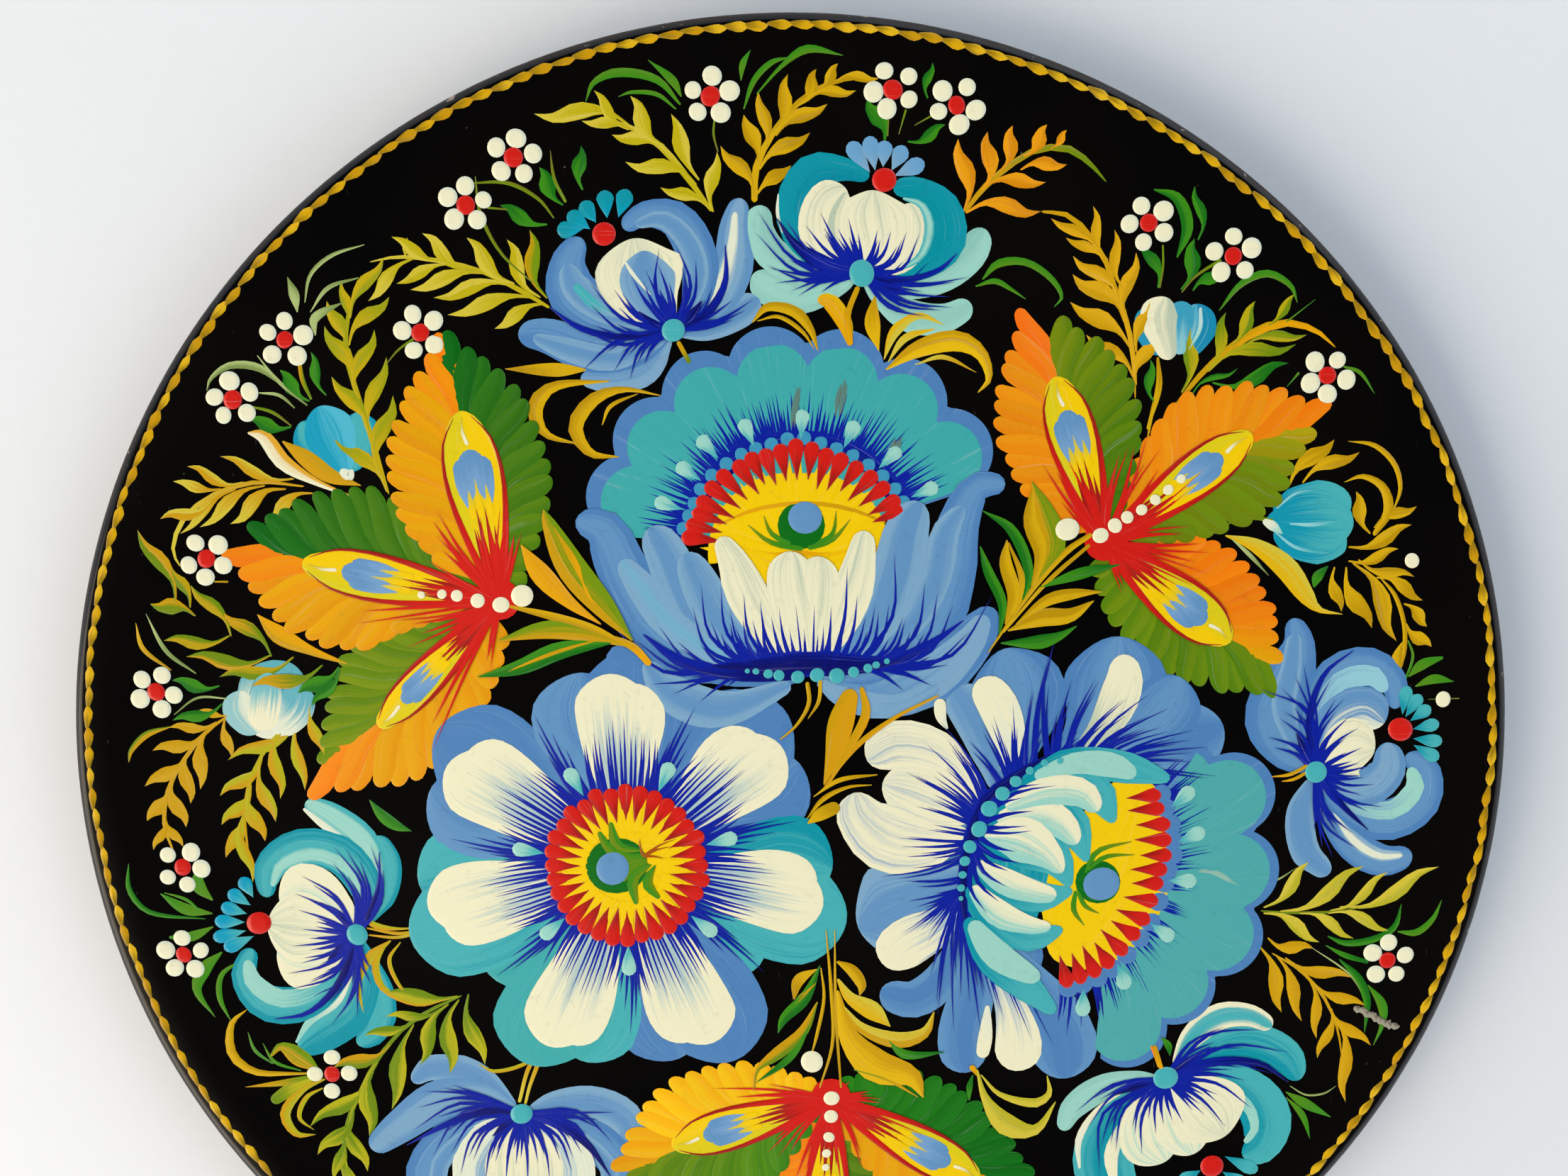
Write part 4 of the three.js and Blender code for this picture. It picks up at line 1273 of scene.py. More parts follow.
def paintSmallBlossoms():
    # six half-open blossoms round the wreath; each has a cream dome between curling petals and a red tip
    d = Brushwork("blossomTopLeft", 61)
    petals(d, [
        ([(-7.5, 110.6, 5), (-12.5, 107.2, 7.5), (-20, 103.8, 6), (-27, 102.6, 2)], (sky, deepSky), "heart",
        1),
        ([(-50, 92, 4), (-42, 91.5, 6.5), (-34, 94, 7), (-28.5, 101.5, 2)], (sky, deepSky), "left", 0),
        ([(-64.5, 102.3, 5), (-58, 102, 8), (-47, 98.3, 10.5), (-36, 99, 8), (-28.5, 102.5, 2)],
        petalPair, "left", 1),
        ([(-61, 101.6, 2.5), (-52, 98.6, 6), (-42, 96.8, 6), (-30, 101, 2)], (sky, deepSky), "heart", 2),
        ([(-49.2, 124.6, 4), (-52.2, 119, 8.5), (-51.4, 112, 12), (-44, 106, 9), (-30, 103.4, 2.5)],
        petalPair, "heart", 3),
        ([(-52.8, 118.5, 4), (-50.7, 113, 7), (-43.7, 107.5, 6), (-32, 104, 1.5)], (sky, deepSky), "heart",
        4),
        ([(-51, 113.8, 2.2), (-46, 109, 2.8), (-38, 105.5, 0.5)], (lagoon, sky), "tip", 5),
        ([(-11.8, 133.6, 4), (-13.2, 127, 7), (-13.6, 118, 9.4), (-18, 109, 8), (-26.5, 103.6, 2)],
        (deepSky, sky), "heart", 2),
        ([(-13, 130.5, 2.2), (-13.8, 122, 4), (-17, 112.5, 4.5), (-25, 105, 1.5)], (sky, milk), "heart", 3),
        ([(-39.4, 126.8, 3.6), (-34, 130, 6), (-26.5, 128.4, 8.5), (-21.6, 119, 9), (-22.5, 110, 7),
        (-27, 104, 2)], petalPair, "heart", 4),
        ([(-36.5, 127.6, 2), (-30, 128.8, 4.5), (-24.3, 124, 5.5), (-21.9, 116, 5.5), (-25, 107, 3)],
        (sky, deepSky), "heart", 5),
        ([(-37, 124.4, 13), (-36, 118, 20.5), (-33, 110, 16), (-28.5, 104, 4)], shadedPair,
        "veins", 6),
        ([(-34.6, 121.6, 7), (-34, 115, 13.5), (-31.4, 108, 9), (-28, 104, 2)], (sky, deepSky), "heart", 7),
        ([(-39.2, 119.4, 0.4), (-37, 116, 1), (-33, 111.4, 0.2)], (milk,), "plain", 8),
    ])
    sweptHairs(d, (-27.8, 103.2), [(-45, 113, .12), (-43.6, 110.6, .1), (-40, 111.5, .1),
        (-38.6, 109.4, .06), (-36.4, 114.4, .05), (-35, 111.6, .02),
        (-33.4, 115.4, 0), (-31.6, 112, -.03), (-31, 117, -.04), (-28.6, 113, -.05), (-30.6, 119.6, .1),
        (-27, 120.4, -.14), (-25.6, 114, -.06), (-23, 117.4, -.1),
        (-45, 108.4, .14), (-44.6, 104.4, .1), (-47, 103.4, .12), (-41, 102, .02), (-44, 98.2, -.06),
        (-47, 94.8, -.1), (-40.4, 94.6, -.12),
        (-37, 93, -.14), (-34, 96, -.1), (-11, 109.6, -.06), (-12.6, 107.4, -.05), (-15, 107, -.06),
        (-16, 105.4, -.04), (-19.6, 112, -.12), (-17.6, 110.6, -.08)])
    petals(d, [
        ([(-57, 108.6, 0.18), (-50, 103.8, 1.32), (-40, 101.6, 1.56), (-29, 103, 1.2)],
        inkPair, "tip", 9),
        ([(-15.4, 123, 0.18), (-15.6, 114, 1.44), (-20, 107, 2.04), (-27, 103.4, 1.2)],
        inkPair, "tip", 9),
        ([(-36, 107.6, 0.24), (-32, 104.6, 1.8), (-28, 103.2, 1.8)], nightPair, "tip", 9),
        ([(-21, 110, 0.36), (-24, 106, 2.76), (-27.6, 103.4, 1.8)], nightPair, "tip", 9),
        ([(-26.8, 100.7, 1), (-24, 95.6, 1.1)], (gold, olive), "tip", 3)])
    tipDrops(d, [(-54.8, 126.2, -48.6, 126.6), (-52.2, 130.2, -47, 126.5), (-48.8, 132.8, -45.6, 128),
        (-43.6, 135.4, -43, 129),
                 (-38.2, 135.6, -40.4, 129.2)], 4, (turquoise, tint(0, 160, 186)))
    d.dot(-27.8, 103.2, 2.7, foamPair, 11)
    d.dot(-43.8, 125.4, 2.75, redPair, 8)
    d.done()

    e = Brushwork("blossomTop", 62)
    petals(e, [
        ([(-9, 116.2, 5), (-5, 113.2, 8.5), (3, 110.8, 7.4), (12, 113.8, 4), (15.5, 115.8, 1)],
        (tint(150, 205, 190), paleAqua), "heart", 1),
        ([(-7, 132, 5), (-7.4, 126, 7), (-4, 120.5, 8), (4, 117.4, 7), (14, 116, 2)],
        (paleAqua, tint(140, 196, 184)), "left", 2),
        ([(45.4, 126.6, 5), (42, 121, 8), (34, 115.4, 8), (24, 113.6, 6), (17.5, 115.6, 2)],
        (paleAqua, tint(140, 196, 184)), "right", 2),
        ([(42.6, 109.2, 5), (36, 106, 7), (28, 106.6, 7.5), (20.5, 112, 5), (17, 115.5, 1.5)],
        (paleAqua, tint(150, 205, 190)), "heart", 1),
        ([(18.2, 138.4, 3), (12, 140.2, 5.5), (5, 139.6, 8), (0.6, 133, 8), (1.6, 126, 8), (9, 119, 6),
        (15, 116.6, 2)], (turquoise, tint(0, 138, 160)), "left", 4),
        ([(23.8, 135.8, 4), (29, 135.8, 5.5), (35.4, 131, 8.5), (36, 123, 9), (29, 117.4, 6),
        (19, 116.2, 2)], (tint(0, 146, 160), turquoise), "left", 4),
        ([(-3, 134.6, 0.3), (-3.1, 130, 0.9), (-2, 125.6, 0.3)], (milk,), "plain", 4),
        ([(12.6, 136, 7), (8.4, 132, 11), (8.2, 125.5, 12), (13, 119, 7), (16, 117, 1)],
        shadedPair, "veins", 6),
        ([(27, 132.4, 7), (28.4, 126.5, 9), (25, 120, 8), (18.5, 117, 1.5)], shadedPair, "veins",
        6),
        ([(19, 135.4, 10), (19, 130, 20), (20, 123, 17), (17, 117.4, 4)], shadedPair, "veins", 7),
        ([(13, 134.8, 2), (10.6, 129, 4), (11.4, 123, 4.6), (15, 118.6, 1)], (shadeCream, cream), "left",
        7),
        ([(26, 133.6, 0.6), (30.5, 132, 1.8), (32.4, 127, 2.4), (30.5, 120.5, 2), (25, 117, 0.6)],
        foamPair, "heart", 7),
    ])
    sweptHairs(e, (16.6, 116.4), [(0.6, 127.4, 0.1), (5, 126, 0.06), (8, 128.6, 0.04), (9, 124.4, 0.02),
        (11.6, 125.4, 0), (13.8, 127.4, 0), (15.8, 124.4, -0.02),
        (19.8, 125.2, -0.04), (22.6, 125, -0.1), (25.8, 124.8, -0.16), (28.4, 124.2, -0.2),
        (30.4, 118.6, -0.2), (-5, 129, 0.14), (-5.4, 124.6, 0.14), (-3, 118, 0.1),
        (-2.6, 117.4, 0.04), (-1.4, 114.4, 0), (2, 112.8, -0.04), (3.4, 111.8, -0.06), (0, 121, 0.1),
        (39, 115.6, -0.06), (36, 114.6, -0.06), (35, 111.6, -0.06),
        (35.6, 109.4, -0.08), (33.4, 108.8, -0.1), (30, 107.6, -0.12), (29.4, 112.6, -0.04)])
    petals(e, [
        ([(-3.4, 129, 0.18), (1, 123, 1.92), (8, 118.4, 3.96), (15, 116.4, 1.8)], nightPair,
        "tip", 9),
        ([(39, 121, 0.18), (34.4, 117, 1.14), (25, 114.6, 1.44), (18, 115.6, 1.2)], inkPair,
        "tip", 9),
        ([(26, 112.4, 0.24), (21, 113.4, 2.16), (17, 115.8, 1.8)], nightPair, "tip", 9),
        ([(15.8, 113.4, 1.2), (13.5, 107, 1.3), (14.2, 99.8, 1)], (gold, amber), "tip", 9)])
    tipDrops(e, [(13.4, 146.2, 18.4, 139.4), (18, 147.6, 19.6, 139.8), (21.8, 146.6, 21.4, 140.6),
        (26.4, 145.4, 23.4, 139.8),
                 (31, 141.8, 24, 138.6)], 3.9, (tint(110, 165, 205), sky))
    e.dot(16.6, 116.4, 3.05, foamPair, 11)
    e.dot(21.7, 137.7, 2.8, redPair, 9)
    e.done()

    f = Brushwork("blossomRight", 63)
    petals(f, [
        ([(134, -30, 5), (127.8, -24, 8), (126, -14, 8), (128.6, -5.6, 2.5)], (sky, deepSky), "heart", 0),
        ([(154.4, -25, 5), (147, -26.4, 8), (139.6, -22.4, 8.5), (133, -13, 6), (129.6, -5, 2)],
        skyPair, "rim", 1),
        ([(152, -25, 2), (146, -25, 3.6), (139.6, -21, 3.6), (134, -13.6, 1)], (sky, milk), "heart", 2),
        ([(121.8, 34.4, 4), (123.6, 28, 8), (121, 18, 14), (118.6, 9, 15), (122, 1, 9), (128, -3, 3)],
        petalPair, "heart", 1),
        ([(122.6, 30.6, 3.6), (122, 22, 5.4), (120.6, 13, 6.5), (124, 4, 5), (128.5, -2, 2)],
        (sky, deepSky), "heart", 2),
        ([(151.4, 0.6, 3.4), (156, -3.4, 8), (155.4, -11.6, 10), (146.6, -16.2, 10), (136, -11.4, 7),
        (130, -4.6, 2)], petalPair, "heart", 3),
        ([(152.6, -2.6, 2.4), (154, -8, 5), (148.6, -13.6, 5), (138.6, -12, 4), (131, -5.6, 1.5)],
        (paleAqua, sky), "tip", 4),
        ([(148, 12, 3), (147.4, 18, 7), (141, 22.4, 9.5), (133, 20, 10), (128.6, 10, 9), (129, -1, 3)],
        petalPair, "heart", 3),
        ([(145.6, 16.4, 2.6), (141.8, 20.4, 5.4), (134, 18.6, 5.8), (129.6, 9, 4.4), (129.4, 0, 2)],
        (tint(150, 205, 215), sky), "tip", 4),
        ([(146.4, 3.6, 5), (147, -3, 9), (142.6, -7.6, 10), (135, -7.6, 7), (130, -4, 2)], (deepSky, sky),
        "heart", 5),
        ([(145.6, 8.6, 8), (140, 11.8, 12), (133.4, 8.2, 11), (130, 0, 3)], (deepSky, milk), "left", 5),
        ([(143.6, 2.2, 12), (138.6, 2.6, 16), (133.4, 0, 11), (130, -3, 3)], shadedPair, "veins",
        6)])
    sweptHairs(f, (129.3, -3.8), [(134.6, 12.4, .12), (133, 9.6, .1), (136, 8.6, .08), (138, 6, .08),
        (135.6, 4, .05), (139, 1.6, .02), (137, -1.4, 0), (141, -2.4, -.04),
        (139, -4.6, -.04), (142, -6.6, -.08), (139.6, -9, -.06), (141, -12.6, -.06), (138, -13.6, -.06),
        (138, -17.6, -.1), (135, -18, -.06), (139.6, -21.4, -.14),
        (131.6, 17, .1), (128.6, 16, .06), (125.4, 20, -.02), (123.6, 17.6, -.06), (121, 14.6, -.12),
        (116.6, 14.4, -.2), (118.4, 4, -.1), (121, 8, -.1),
        (131.6, -21, -.02), (129.4, -17, .04), (134, -23, -.06), (144, -11.6, -.1)])
    petals(f, [([(137, 26.6, 0.18), (130, 20.4, 1.2), (127, 9, 1.68), (129, -2, 1.44)],
        inkPair, "tip", 9),
               ([(143, -18.6, 0.18), (136, -12, 1.56), (130.4, -5, 1.8)], nightPair, "tip", 9),
               ([(124, 6, 0.24), (126.4, 1.4, 2.04), (129, -3, 1.8)], nightPair, "tip", 9),
               ([(127.4, -2, 0.9), (123, -4.4, 0.9), (118.4, -5, 0.2)], (gold, amber), "tip", 9),
               ([(127.2, -3.8, 0.8), (124, -5.6, 0.8), (121, -6.2, 0.2)], (gold, amber), "tip", 9)])
    tipDrops(f, [(150.6, 17.8, 149.8, 10.6), (154, 15.6, 150.6, 10), (156.6, 12.6, 151.8, 9),
        (159, 8.4, 152.6, 7), (160, 3.8, 152.8, 4.6),
                 (159.4, -0.6, 153, 3)], 3.3, lagoonPair)
    f.dot(129.3, -3.8, 2.7, foamPair, 11)
    f.dot(149.5, 6.9, 3.0, redPair, 8)
    f.done()

    g = Brushwork("blossomLeft", 64)
    petals(g, [
        ([(-102.6, -20, 5), (-100, -27, 7.4), (-101, -35, 6.4), (-105, -42, 2)], seaPair,
        "heart", 0),
        ([(-119.8, -11.4, 3.6), (-113.4, -15.4, 7.4), (-106, -22, 8.4), (-103.6, -32, 6.4),
        (-106.4, -42, 2.5)], foamPair, "heart", 1),
        ([(-120.4, -13, 0.8), (-116, -17, 1.8), (-110, -22, 1.4), (-106, -30, 0.3)], (milk, paleAqua),
        "tip", 2),
        ([(-109.4, -74.6, 4.6), (-104.4, -70, 8), (-103, -62, 8), (-105.4, -53, 5), (-107.6, -47, 2)],
        seaPair, "heart", 0),
        ([(-124.2, -76, 4.4), (-118, -72, 9), (-110, -66, 9), (-106.6, -56, 7), (-107.6, -47.6, 2)],
        seaPair, "left", 1),
        ([(-125, -74, 0.6), (-121, -68, 2), (-114, -63, 1.8), (-110, -56, 0.4)], (paleAqua, milk), "tip",
        2),
        ([(-130.6, -35.8, 3.6), (-129.6, -28, 7), (-121.6, -23, 9.5), (-111.6, -25, 10), (-105.6, -34, 8),
        (-107, -43, 3)], seaPair, "heart", 3),
        ([(-129, -33, 1.6), (-126.4, -27.4, 4), (-118, -24.6, 5), (-109.4, -29, 4.6), (-106.6, -38, 2)],
        foamPair, "heart", 4),
        ([(-135, -49, 4), (-137, -56.4, 7), (-131.6, -63.4, 9.5), (-121.4, -63, 9), (-113.4, -55.4, 7),
        (-109, -47.6, 2.5)], seaPair, "heart", 3),
        ([(-136.2, -52, 2.4), (-134.8, -58, 4.8), (-128, -62.4, 5), (-118.6, -59.6, 4.4), (-111, -50.4, 2)],
        (paleAqua, lagoon), "tip", 4),
        ([(-127.4, -36.4, 12), (-121, -35.6, 17), (-113.6, -40, 12), (-109, -44.6, 2)], (cream, paleAqua),
        "right", 5),
        ([(-128.6, -50, 13), (-122, -51.2, 17), (-115, -49.4, 12), (-109, -46, 2)], (cream, paleAqua),
        "left", 5),
        ([(-130.6, -42.6, 15), (-124, -43.4, 20), (-116, -44, 14), (-109, -45.4, 2)], shadedPair,
        "veins", 6)])
    sweptHairs(g, (-108.3, -45.4), [(-120, -32, -.1), (-117.6, -34, -.08), (-121.6, -36, -.06),
        (-118.4, -37.6, -.05), (-121, -39.8, -.03), (-117, -41.6, 0), (-120.4, -44.2, 0),
        (-117.4, -46, .02), (-122.6, -48, .03), (-119, -49, .04), (-121, -52, .06), (-117.6, -53.6, .08),
        (-124, -54.4, .1), (-119, -56, .1), (-123.6, -58, .14),
        (-118.6, -59.6, .16), (-112.6, -25.6, -.14), (-110, -26, -.12), (-107, -28.6, -.1),
        (-104.6, -25, -.14), (-102, -30, -.1), (-113, -29, -.1),
        (-115, -66.6, .1), (-112, -63, .06), (-109, -64.6, 0), (-107.6, -60, -.02), (-105.6, -57, -.06)])
    petals(g, [([(-130, -67.6, 0.18), (-121.6, -66, 1.2), (-114, -59, 1.8), (-109, -48, 1.8)],
        inkPair, "tip", 9),
               ([(-102, -24, 0.18), (-102.6, -33, 0.96), (-106, -42, 1.56)], inkPair, "tip",
               9),
               ([(-116, -52, 0.24), (-112, -48.6, 2.64), (-108.6, -46, 2.04)], nightPair, "tip",
               9),
               ([(-113, -40, 0.24), (-110.6, -42.6, 1.8), (-108.6, -45, 1.8)], nightPair, "tip",
               9)])
    tipDrops(g, [(-136.6, -30.6, -133.8, -35.8), (-140, -34.2, -134.6, -37.8), (-142, -38, -135.6, -40),
        (-143.8, -42, -136.2, -42.2),
                 (-144.4, -46.4, -136, -44.4), (-141.8, -49.2, -134.2, -45.8)], 3.6,
                 (tint(0, 158, 190), lagoon))
    g.dot(-108.3, -45.4, 2.7, foamPair, 11)
    g.dot(-132.7, -42.4, 3.0, redPair, 8)
    g.done()

    h = Brushwork("blossomBottomLeft", 65)
    petals(h, [
        ([(-96, -84.4, 3), (-90.6, -80.8, 8), (-80, -83, 9), (-70, -91, 2)], (sky, deepSky), "heart", 0),
        ([(-107, -102.6, 5), (-99.4, -96.4, 9), (-89, -89.4, 11), (-78, -88, 8), (-69.6, -91.6, 2)],
        (deepSky, sky), "heart", 1),
        ([(-41, -105, 6), (-41.6, -95, 9), (-50, -90.2, 9), (-60, -90.4, 7), (-67, -92.6, 2)],
        (sky, deepSky), "heart", 1),
        ([(-74.4, -121, 3), (-83, -122.8, 6), (-91.8, -118, 9), (-93.4, -108, 10), (-85, -98, 9),
        (-71, -93.4, 2.5)], petalPair, "heart", 3),
        ([(-78, -120.6, 1.6), (-86, -119, 4), (-90.4, -109, 5), (-83.6, -99.6, 4), (-72, -94.4, 1.4)],
        (sky, deepSky), "heart", 4),
        ([(-62, -121, 3), (-53, -122.6, 6), (-44.8, -117.6, 9), (-43.4, -108, 10), (-52, -98.4, 9),
        (-66, -93.6, 2.5)], petalPair, "heart", 3),
        ([(-59, -120.4, 1.6), (-50, -118.6, 4), (-46, -108.6, 5), (-53.4, -99.6, 4), (-65.4, -94.6, 1.4)],
        (sky, deepSky), "heart", 4),
        ([(-77, -117.4, 8), (-80.6, -109, 12), (-76.6, -100, 11), (-69.4, -94, 2)], (milk, sky), "right",
        5),
        ([(-59.6, -117.4, 8), (-56, -109, 12), (-60, -100, 11), (-67.4, -94, 2)], (milk, sky), "left", 5),
        ([(-68, -118, 15), (-68, -110, 22), (-68.4, -101, 17), (-68.4, -94.6, 4)], shadedPair,
        "veins", 6)])
    sweptHairs(h, (-68.4, -92.9), [(-92, -91.6, -.1), (-90.6, -87.6, -.06), (-86, -89.4, -.06),
        (-84, -86, -.02), (-93, -97, -.14), (-88.6, -103, -.2), (-84.6, -102.6, -.16),
        (-82.6, -107.6, -.16), (-79.6, -104, -.12), (-77, -109, -.1), (-74.6, -104.4, -.06),
        (-72.4, -109.6, -.04), (-70, -105, 0), (-67.4, -110, .02), (-65, -104.6, .04),
        (-62.4, -109, .08), (-60, -104, .1), (-57.4, -106.6, .12), (-55, -102.4, .14), (-51.6, -105.6, .18),
        (-48, -100, .16), (-50.6, -96.6, .08), (-47.6, -92.6, 0),
        (-52, -94.6, .04), (-56, -92, -.02)])
    petals(h, [([(-98, -101.4, 0.18), (-88, -96, 1.56), (-77, -92, 2.4), (-69, -92.9, 1.8)],
        inkPair, "tip", 9),
               ([(-46, -110, 0.18), (-52, -101, 2.04), (-60, -95, 2.64), (-68, -93, 1.8)],
               nightPair, "tip", 9),
               ([(-76, -99, 0.24), (-72, -95.4, 2.4), (-68.4, -93, 1.8)], nightPair, "tip", 9)])
    tipDrops(h, [(-76.6, -129.6, -70.6, -123.6), (-72.6, -132, -69.4, -124.6), (-68, -133, -68.2, -125),
        (-63.4, -132, -67, -124.6),
                 (-59.4, -129.4, -65.6, -123.4)], 3.6, seaPair)
    h.dot(-68.4, -92.9, 2.75, foamPair, 11)
    h.dot(-68.1, -121, 3.0, redPair, 8)
    h.done()

    i = Brushwork("blossomBottomRight", 66)
    petals(i, [
        ([(129.2, -84, 4), (125.4, -78, 9), (116.6, -74, 10), (107, -75.6, 7), (97.8, -80.6, 2)],
        seaPair, "right", 1),
        ([(121.6, -69.8, 4), (115.6, -66.8, 6), (108, -67.2, 7), (101.4, -72.6, 6), (97.4, -80, 2)],
        (cream, lagoon), "heart", 2),
        ([(69.2, -97.6, 3.4), (72, -91.4, 6.4), (79.4, -86, 7), (88, -84, 5), (93, -83.4, 1.5)],
        (tint(150, 205, 190), paleAqua), "heart", 1),
        ([(84.6, -118, 12), (80, -106, 16), (83.4, -95, 12), (91.6, -86.6, 4)], lagoonPair,
        "heart", 2),
        ([(74, -108, 0.6), (73.6, -100, 1.8), (78, -92, 1.2), (84, -87.6, 0.3)], (milk, cream), "tip", 3),
        ([(83, -112, 2), (82, -104, 4), (85, -96, 3), (90, -89, 1)], (cream, lagoon), "tip", 3),
        ([(115.6, -104.6, 5), (120, -102, 9.6), (121.4, -95, 12.4), (117.6, -88, 12), (109.6, -83, 8),
        (98.6, -81.8, 2.5)], lagoonPair, "left", 3),
        ([(116, -101, 1.6), (118.4, -97, 2.4), (116.4, -91, 3), (109.4, -85.4, 2.6), (101, -83, 1)],
        (paleAqua, lagoon), "tip", 4),
        ([(96, -106, 12), (92, -100, 16), (91, -93, 12), (94, -86, 2)], (cream, paleAqua), "veins", 5),
        ([(103, -104, 11), (99.4, -96, 15), (96.4, -89, 9), (95, -85, 2)], (cream, paleAqua), "veins", 6),
        ([(111, -99, 14), (107, -94, 22), (101.6, -88.6, 15), (96.6, -84.6, 3)], shadedPair,
        "veins", 7)])
    sweptHairs(i, (95, -83.4), [(107.6, -71.4, 0.1), (116.6, -72, 0.14), (122.6, -77.4, 0.12),
        (119, -82.4, 0.1), (110, -81.4, 0.04), (113, -84, 0.06), (107, -87.4, 0.02), (114.6, -90.6, 0.1),
        (101.4, -91, 0), (104, -92, 0), (109, -95, 0.06), (99.4, -94, -0.03), (97, -93.6, -0.04),
        (95, -94.4, -0.05), (93.4, -96.6, -0.07), (91.6, -93, -0.08), (90.4, -101.4, -0.1), (88, -95, -0.1),
        (84.4, -101, -0.14), (81, -100, -0.14), (81, -106.6, -0.2), (78, -95, -0.12), (84, -91, -0.06),
        (75, -91.6, -0.1), (80.4, -88.6, -0.06)], 2.2)
    petals(i, [([(126.4, -84.6, 0.18), (119, -79.6, 1.68), (108, -79, 2.4), (96.6, -82, 1.8)],
        nightPair, "tip", 9),
               ([(82, -88, 0.18), (88, -85.6, 2.16), (94.6, -83.6, 1.8)], nightPair, "tip", 9),
               ([(106, -75, 0.18), (101, -78.6, 1.8), (96, -82.6, 1.8)], inkPair, "tip", 9),
               ([(93.6, -80.6, 1.2), (92.6, -77.6, 1.2), (91.2, -74.8, 0.8)], (amber, orange), "tip", 9)])
    tipDrops(i, [(99.6, -111.6, 105, -108.4), (101, -116, 106, -110), (106, -118.6, 107.6, -110.8),
        (111.6, -117, 109, -110.4), (116.6, -112.4, 110.6, -108.8),
                 (119.6, -108.6, 111, -104.6)], 3.6, lagoonPair)
    i.dot(95.1, -83.3, 3.05, foamPair, 11)
    i.dot(107.8, -107.2, 2.95, redPair, 9)
    i.done()


def paintBuds():
    work = Brushwork("tulipBuds", 71)
    deep = (tint(10, 150, 176), lagoon)
    petals(work, [
        ([(-117, 81.6, 6), (-114, 77.6, 11), (-107.6, 70, 4)], deep, "heart", 0),
        ([(-103.6, 84, 7), (-102.6, 78, 10), (-105.6, 70, 4)], deep, "heart", 0),
        ([(-112.4, 85.4, 8), (-109.6, 78, 13), (-106.4, 69.6, 4)], (tint(20, 160, 190), tint(80, 186, 208)),
        "left", 1),
        ([(-107.8, 70.4, 2), (-106, 69, 3), (-104.8, 70.4, 0.6)], (milk,), "plain", 2),
        ([(-121.6, 23.4, 12), (-124.6, 18, 18.6), (-127.8, 11, 18.6), (-130.4, 5, 12)],
        (tint(96, 176, 186), milk), "tip", 0),
        ([(-134.6, 16.6, 6), (-134.4, 11.6, 9), (-130.6, 6, 6)], (milk, tint(150, 200, 200)), "right", 1),
        ([(-119.6, 18.4, 6), (-121.6, 12, 9.6), (-127, 6.4, 6)], (tint(104, 180, 190), milk), "tip", 2),
        ([(-127, 21, 5), (-128.4, 14, 8), (-129.6, 6.6, 7)], (tint(120, 190, 196), cream), "tip", 3),
        ([(85.4, 108.6, 6), (84.6, 104, 8), (88, 97.6, 4)], (tint(40, 150, 182), tint(110, 190, 206)),
        "left", 0),
        ([(95.6, 109.4, 7), (96, 104.4, 10), (93.6, 97.2, 5)], (tint(24, 140, 176), tint(96, 184, 204)),
        "right", 0),
        ([(96.6, 108.6, 0.8), (96.6, 103.6, 1.1), (94, 98.4, 0.3)], (tint(190, 220, 214), paleAqua), "tip",
        1),
        ([(92, 110, 6), (92, 105, 8), (92, 97.6, 3.6)], (tint(60, 160, 190), tint(140, 200, 208)), "tip",
        1),
        ([(88.2, 111, 7), (87, 106, 9), (89.8, 96.4, 3.6)], shadedPair, "left", 2),
        ([(116, 60.4, 3), (122, 63, 8), (129, 62.6, 10.4), (133.6, 58.6, 7)], deep, "tip", 0),
        ([(116.4, 55.6, 3), (122, 52.8, 8), (128.6, 52.4, 9.6), (133.4, 55.4, 7)], deep, "tip", 0),
        ([(114.4, 58.2, 3), (123, 58, 11), (130, 57.6, 13), (135.4, 57, 9)], (tint(16, 152, 176), lagoon),
        "tip", 1),
        ([(120, 57.4, 0.4), (126, 57.2, 1.2), (133.6, 58.2, 0.3)], (tint(150, 210, 214), lagoon), "tip", 2),
        ([(116.6, 55.4, 0.3), (122, 51.6, 0.8), (130, 50.2, 0.3)], (tint(140, 206, 212), lagoon), "tip", 2),
        ([(116.6, 61, 0.3), (121, 64.6, 0.7), (127, 65.6, 0.2)], (tint(140, 206, 212), lagoon), "tip", 2),
        ([(113.6, 58.4, 1.4), (116, 57, 2.6), (118.4, 55, 0.3)], (milk, paleAqua), "tip", 2),
    ])
    work.done()


def leaf(work, bx, by, tx, ty, width, bend, colours, layer):
    # a pointed leaf drawn in one stroke: thin at its stalk,
    # its middle swept to one side and its tip turned back
    dx, dy = tx - bx, ty - by
    at = lambda t, off: (bx + dx * t - dy * off, by + dy * t + dx * off)
    work.dab([(bx, by, 0.35), (*at(0.26, bend), width * 0.3), (*at(0.54, bend * 0.75), width * 0.9),
        (*at(0.79, -bend * 0.15), width * 0.5),
              (tx, ty, 0)], colours, work.random.choice(("left", "right", "tip")), layer, 14, 3, rise=0.04)


def spray(work, stem, leaves, colours, layer=1, stemColours=None):
    # a sprig: leaves sweep along the way their stem grows; a leaf is its base, its tip and its width
    if stem:
        work.dab(stem, stemColours or colours, "tip", layer, 14, 2, rise=0.04)
    for k, (bx, by, tx, ty, width) in enumerate(leaves):
        bend = 0.09 if k % 2 else -0.09
        if stem:
            near = min(range(len(stem) - 1), key=lambda n: math.dist(stem[n][:2], (bx, by)))
            sx, sy = stem[near + 1][0] - stem[near][0], stem[near + 1][1] - stem[near][1]
            bend = 0.1 if (tx - bx) * sy - (ty - by) * sx > 0 else -0.1
        leaf(work, bx, by, tx, ty, width, bend * work.random.uniform(0.6, 1.3), colours, layer + k % 2)


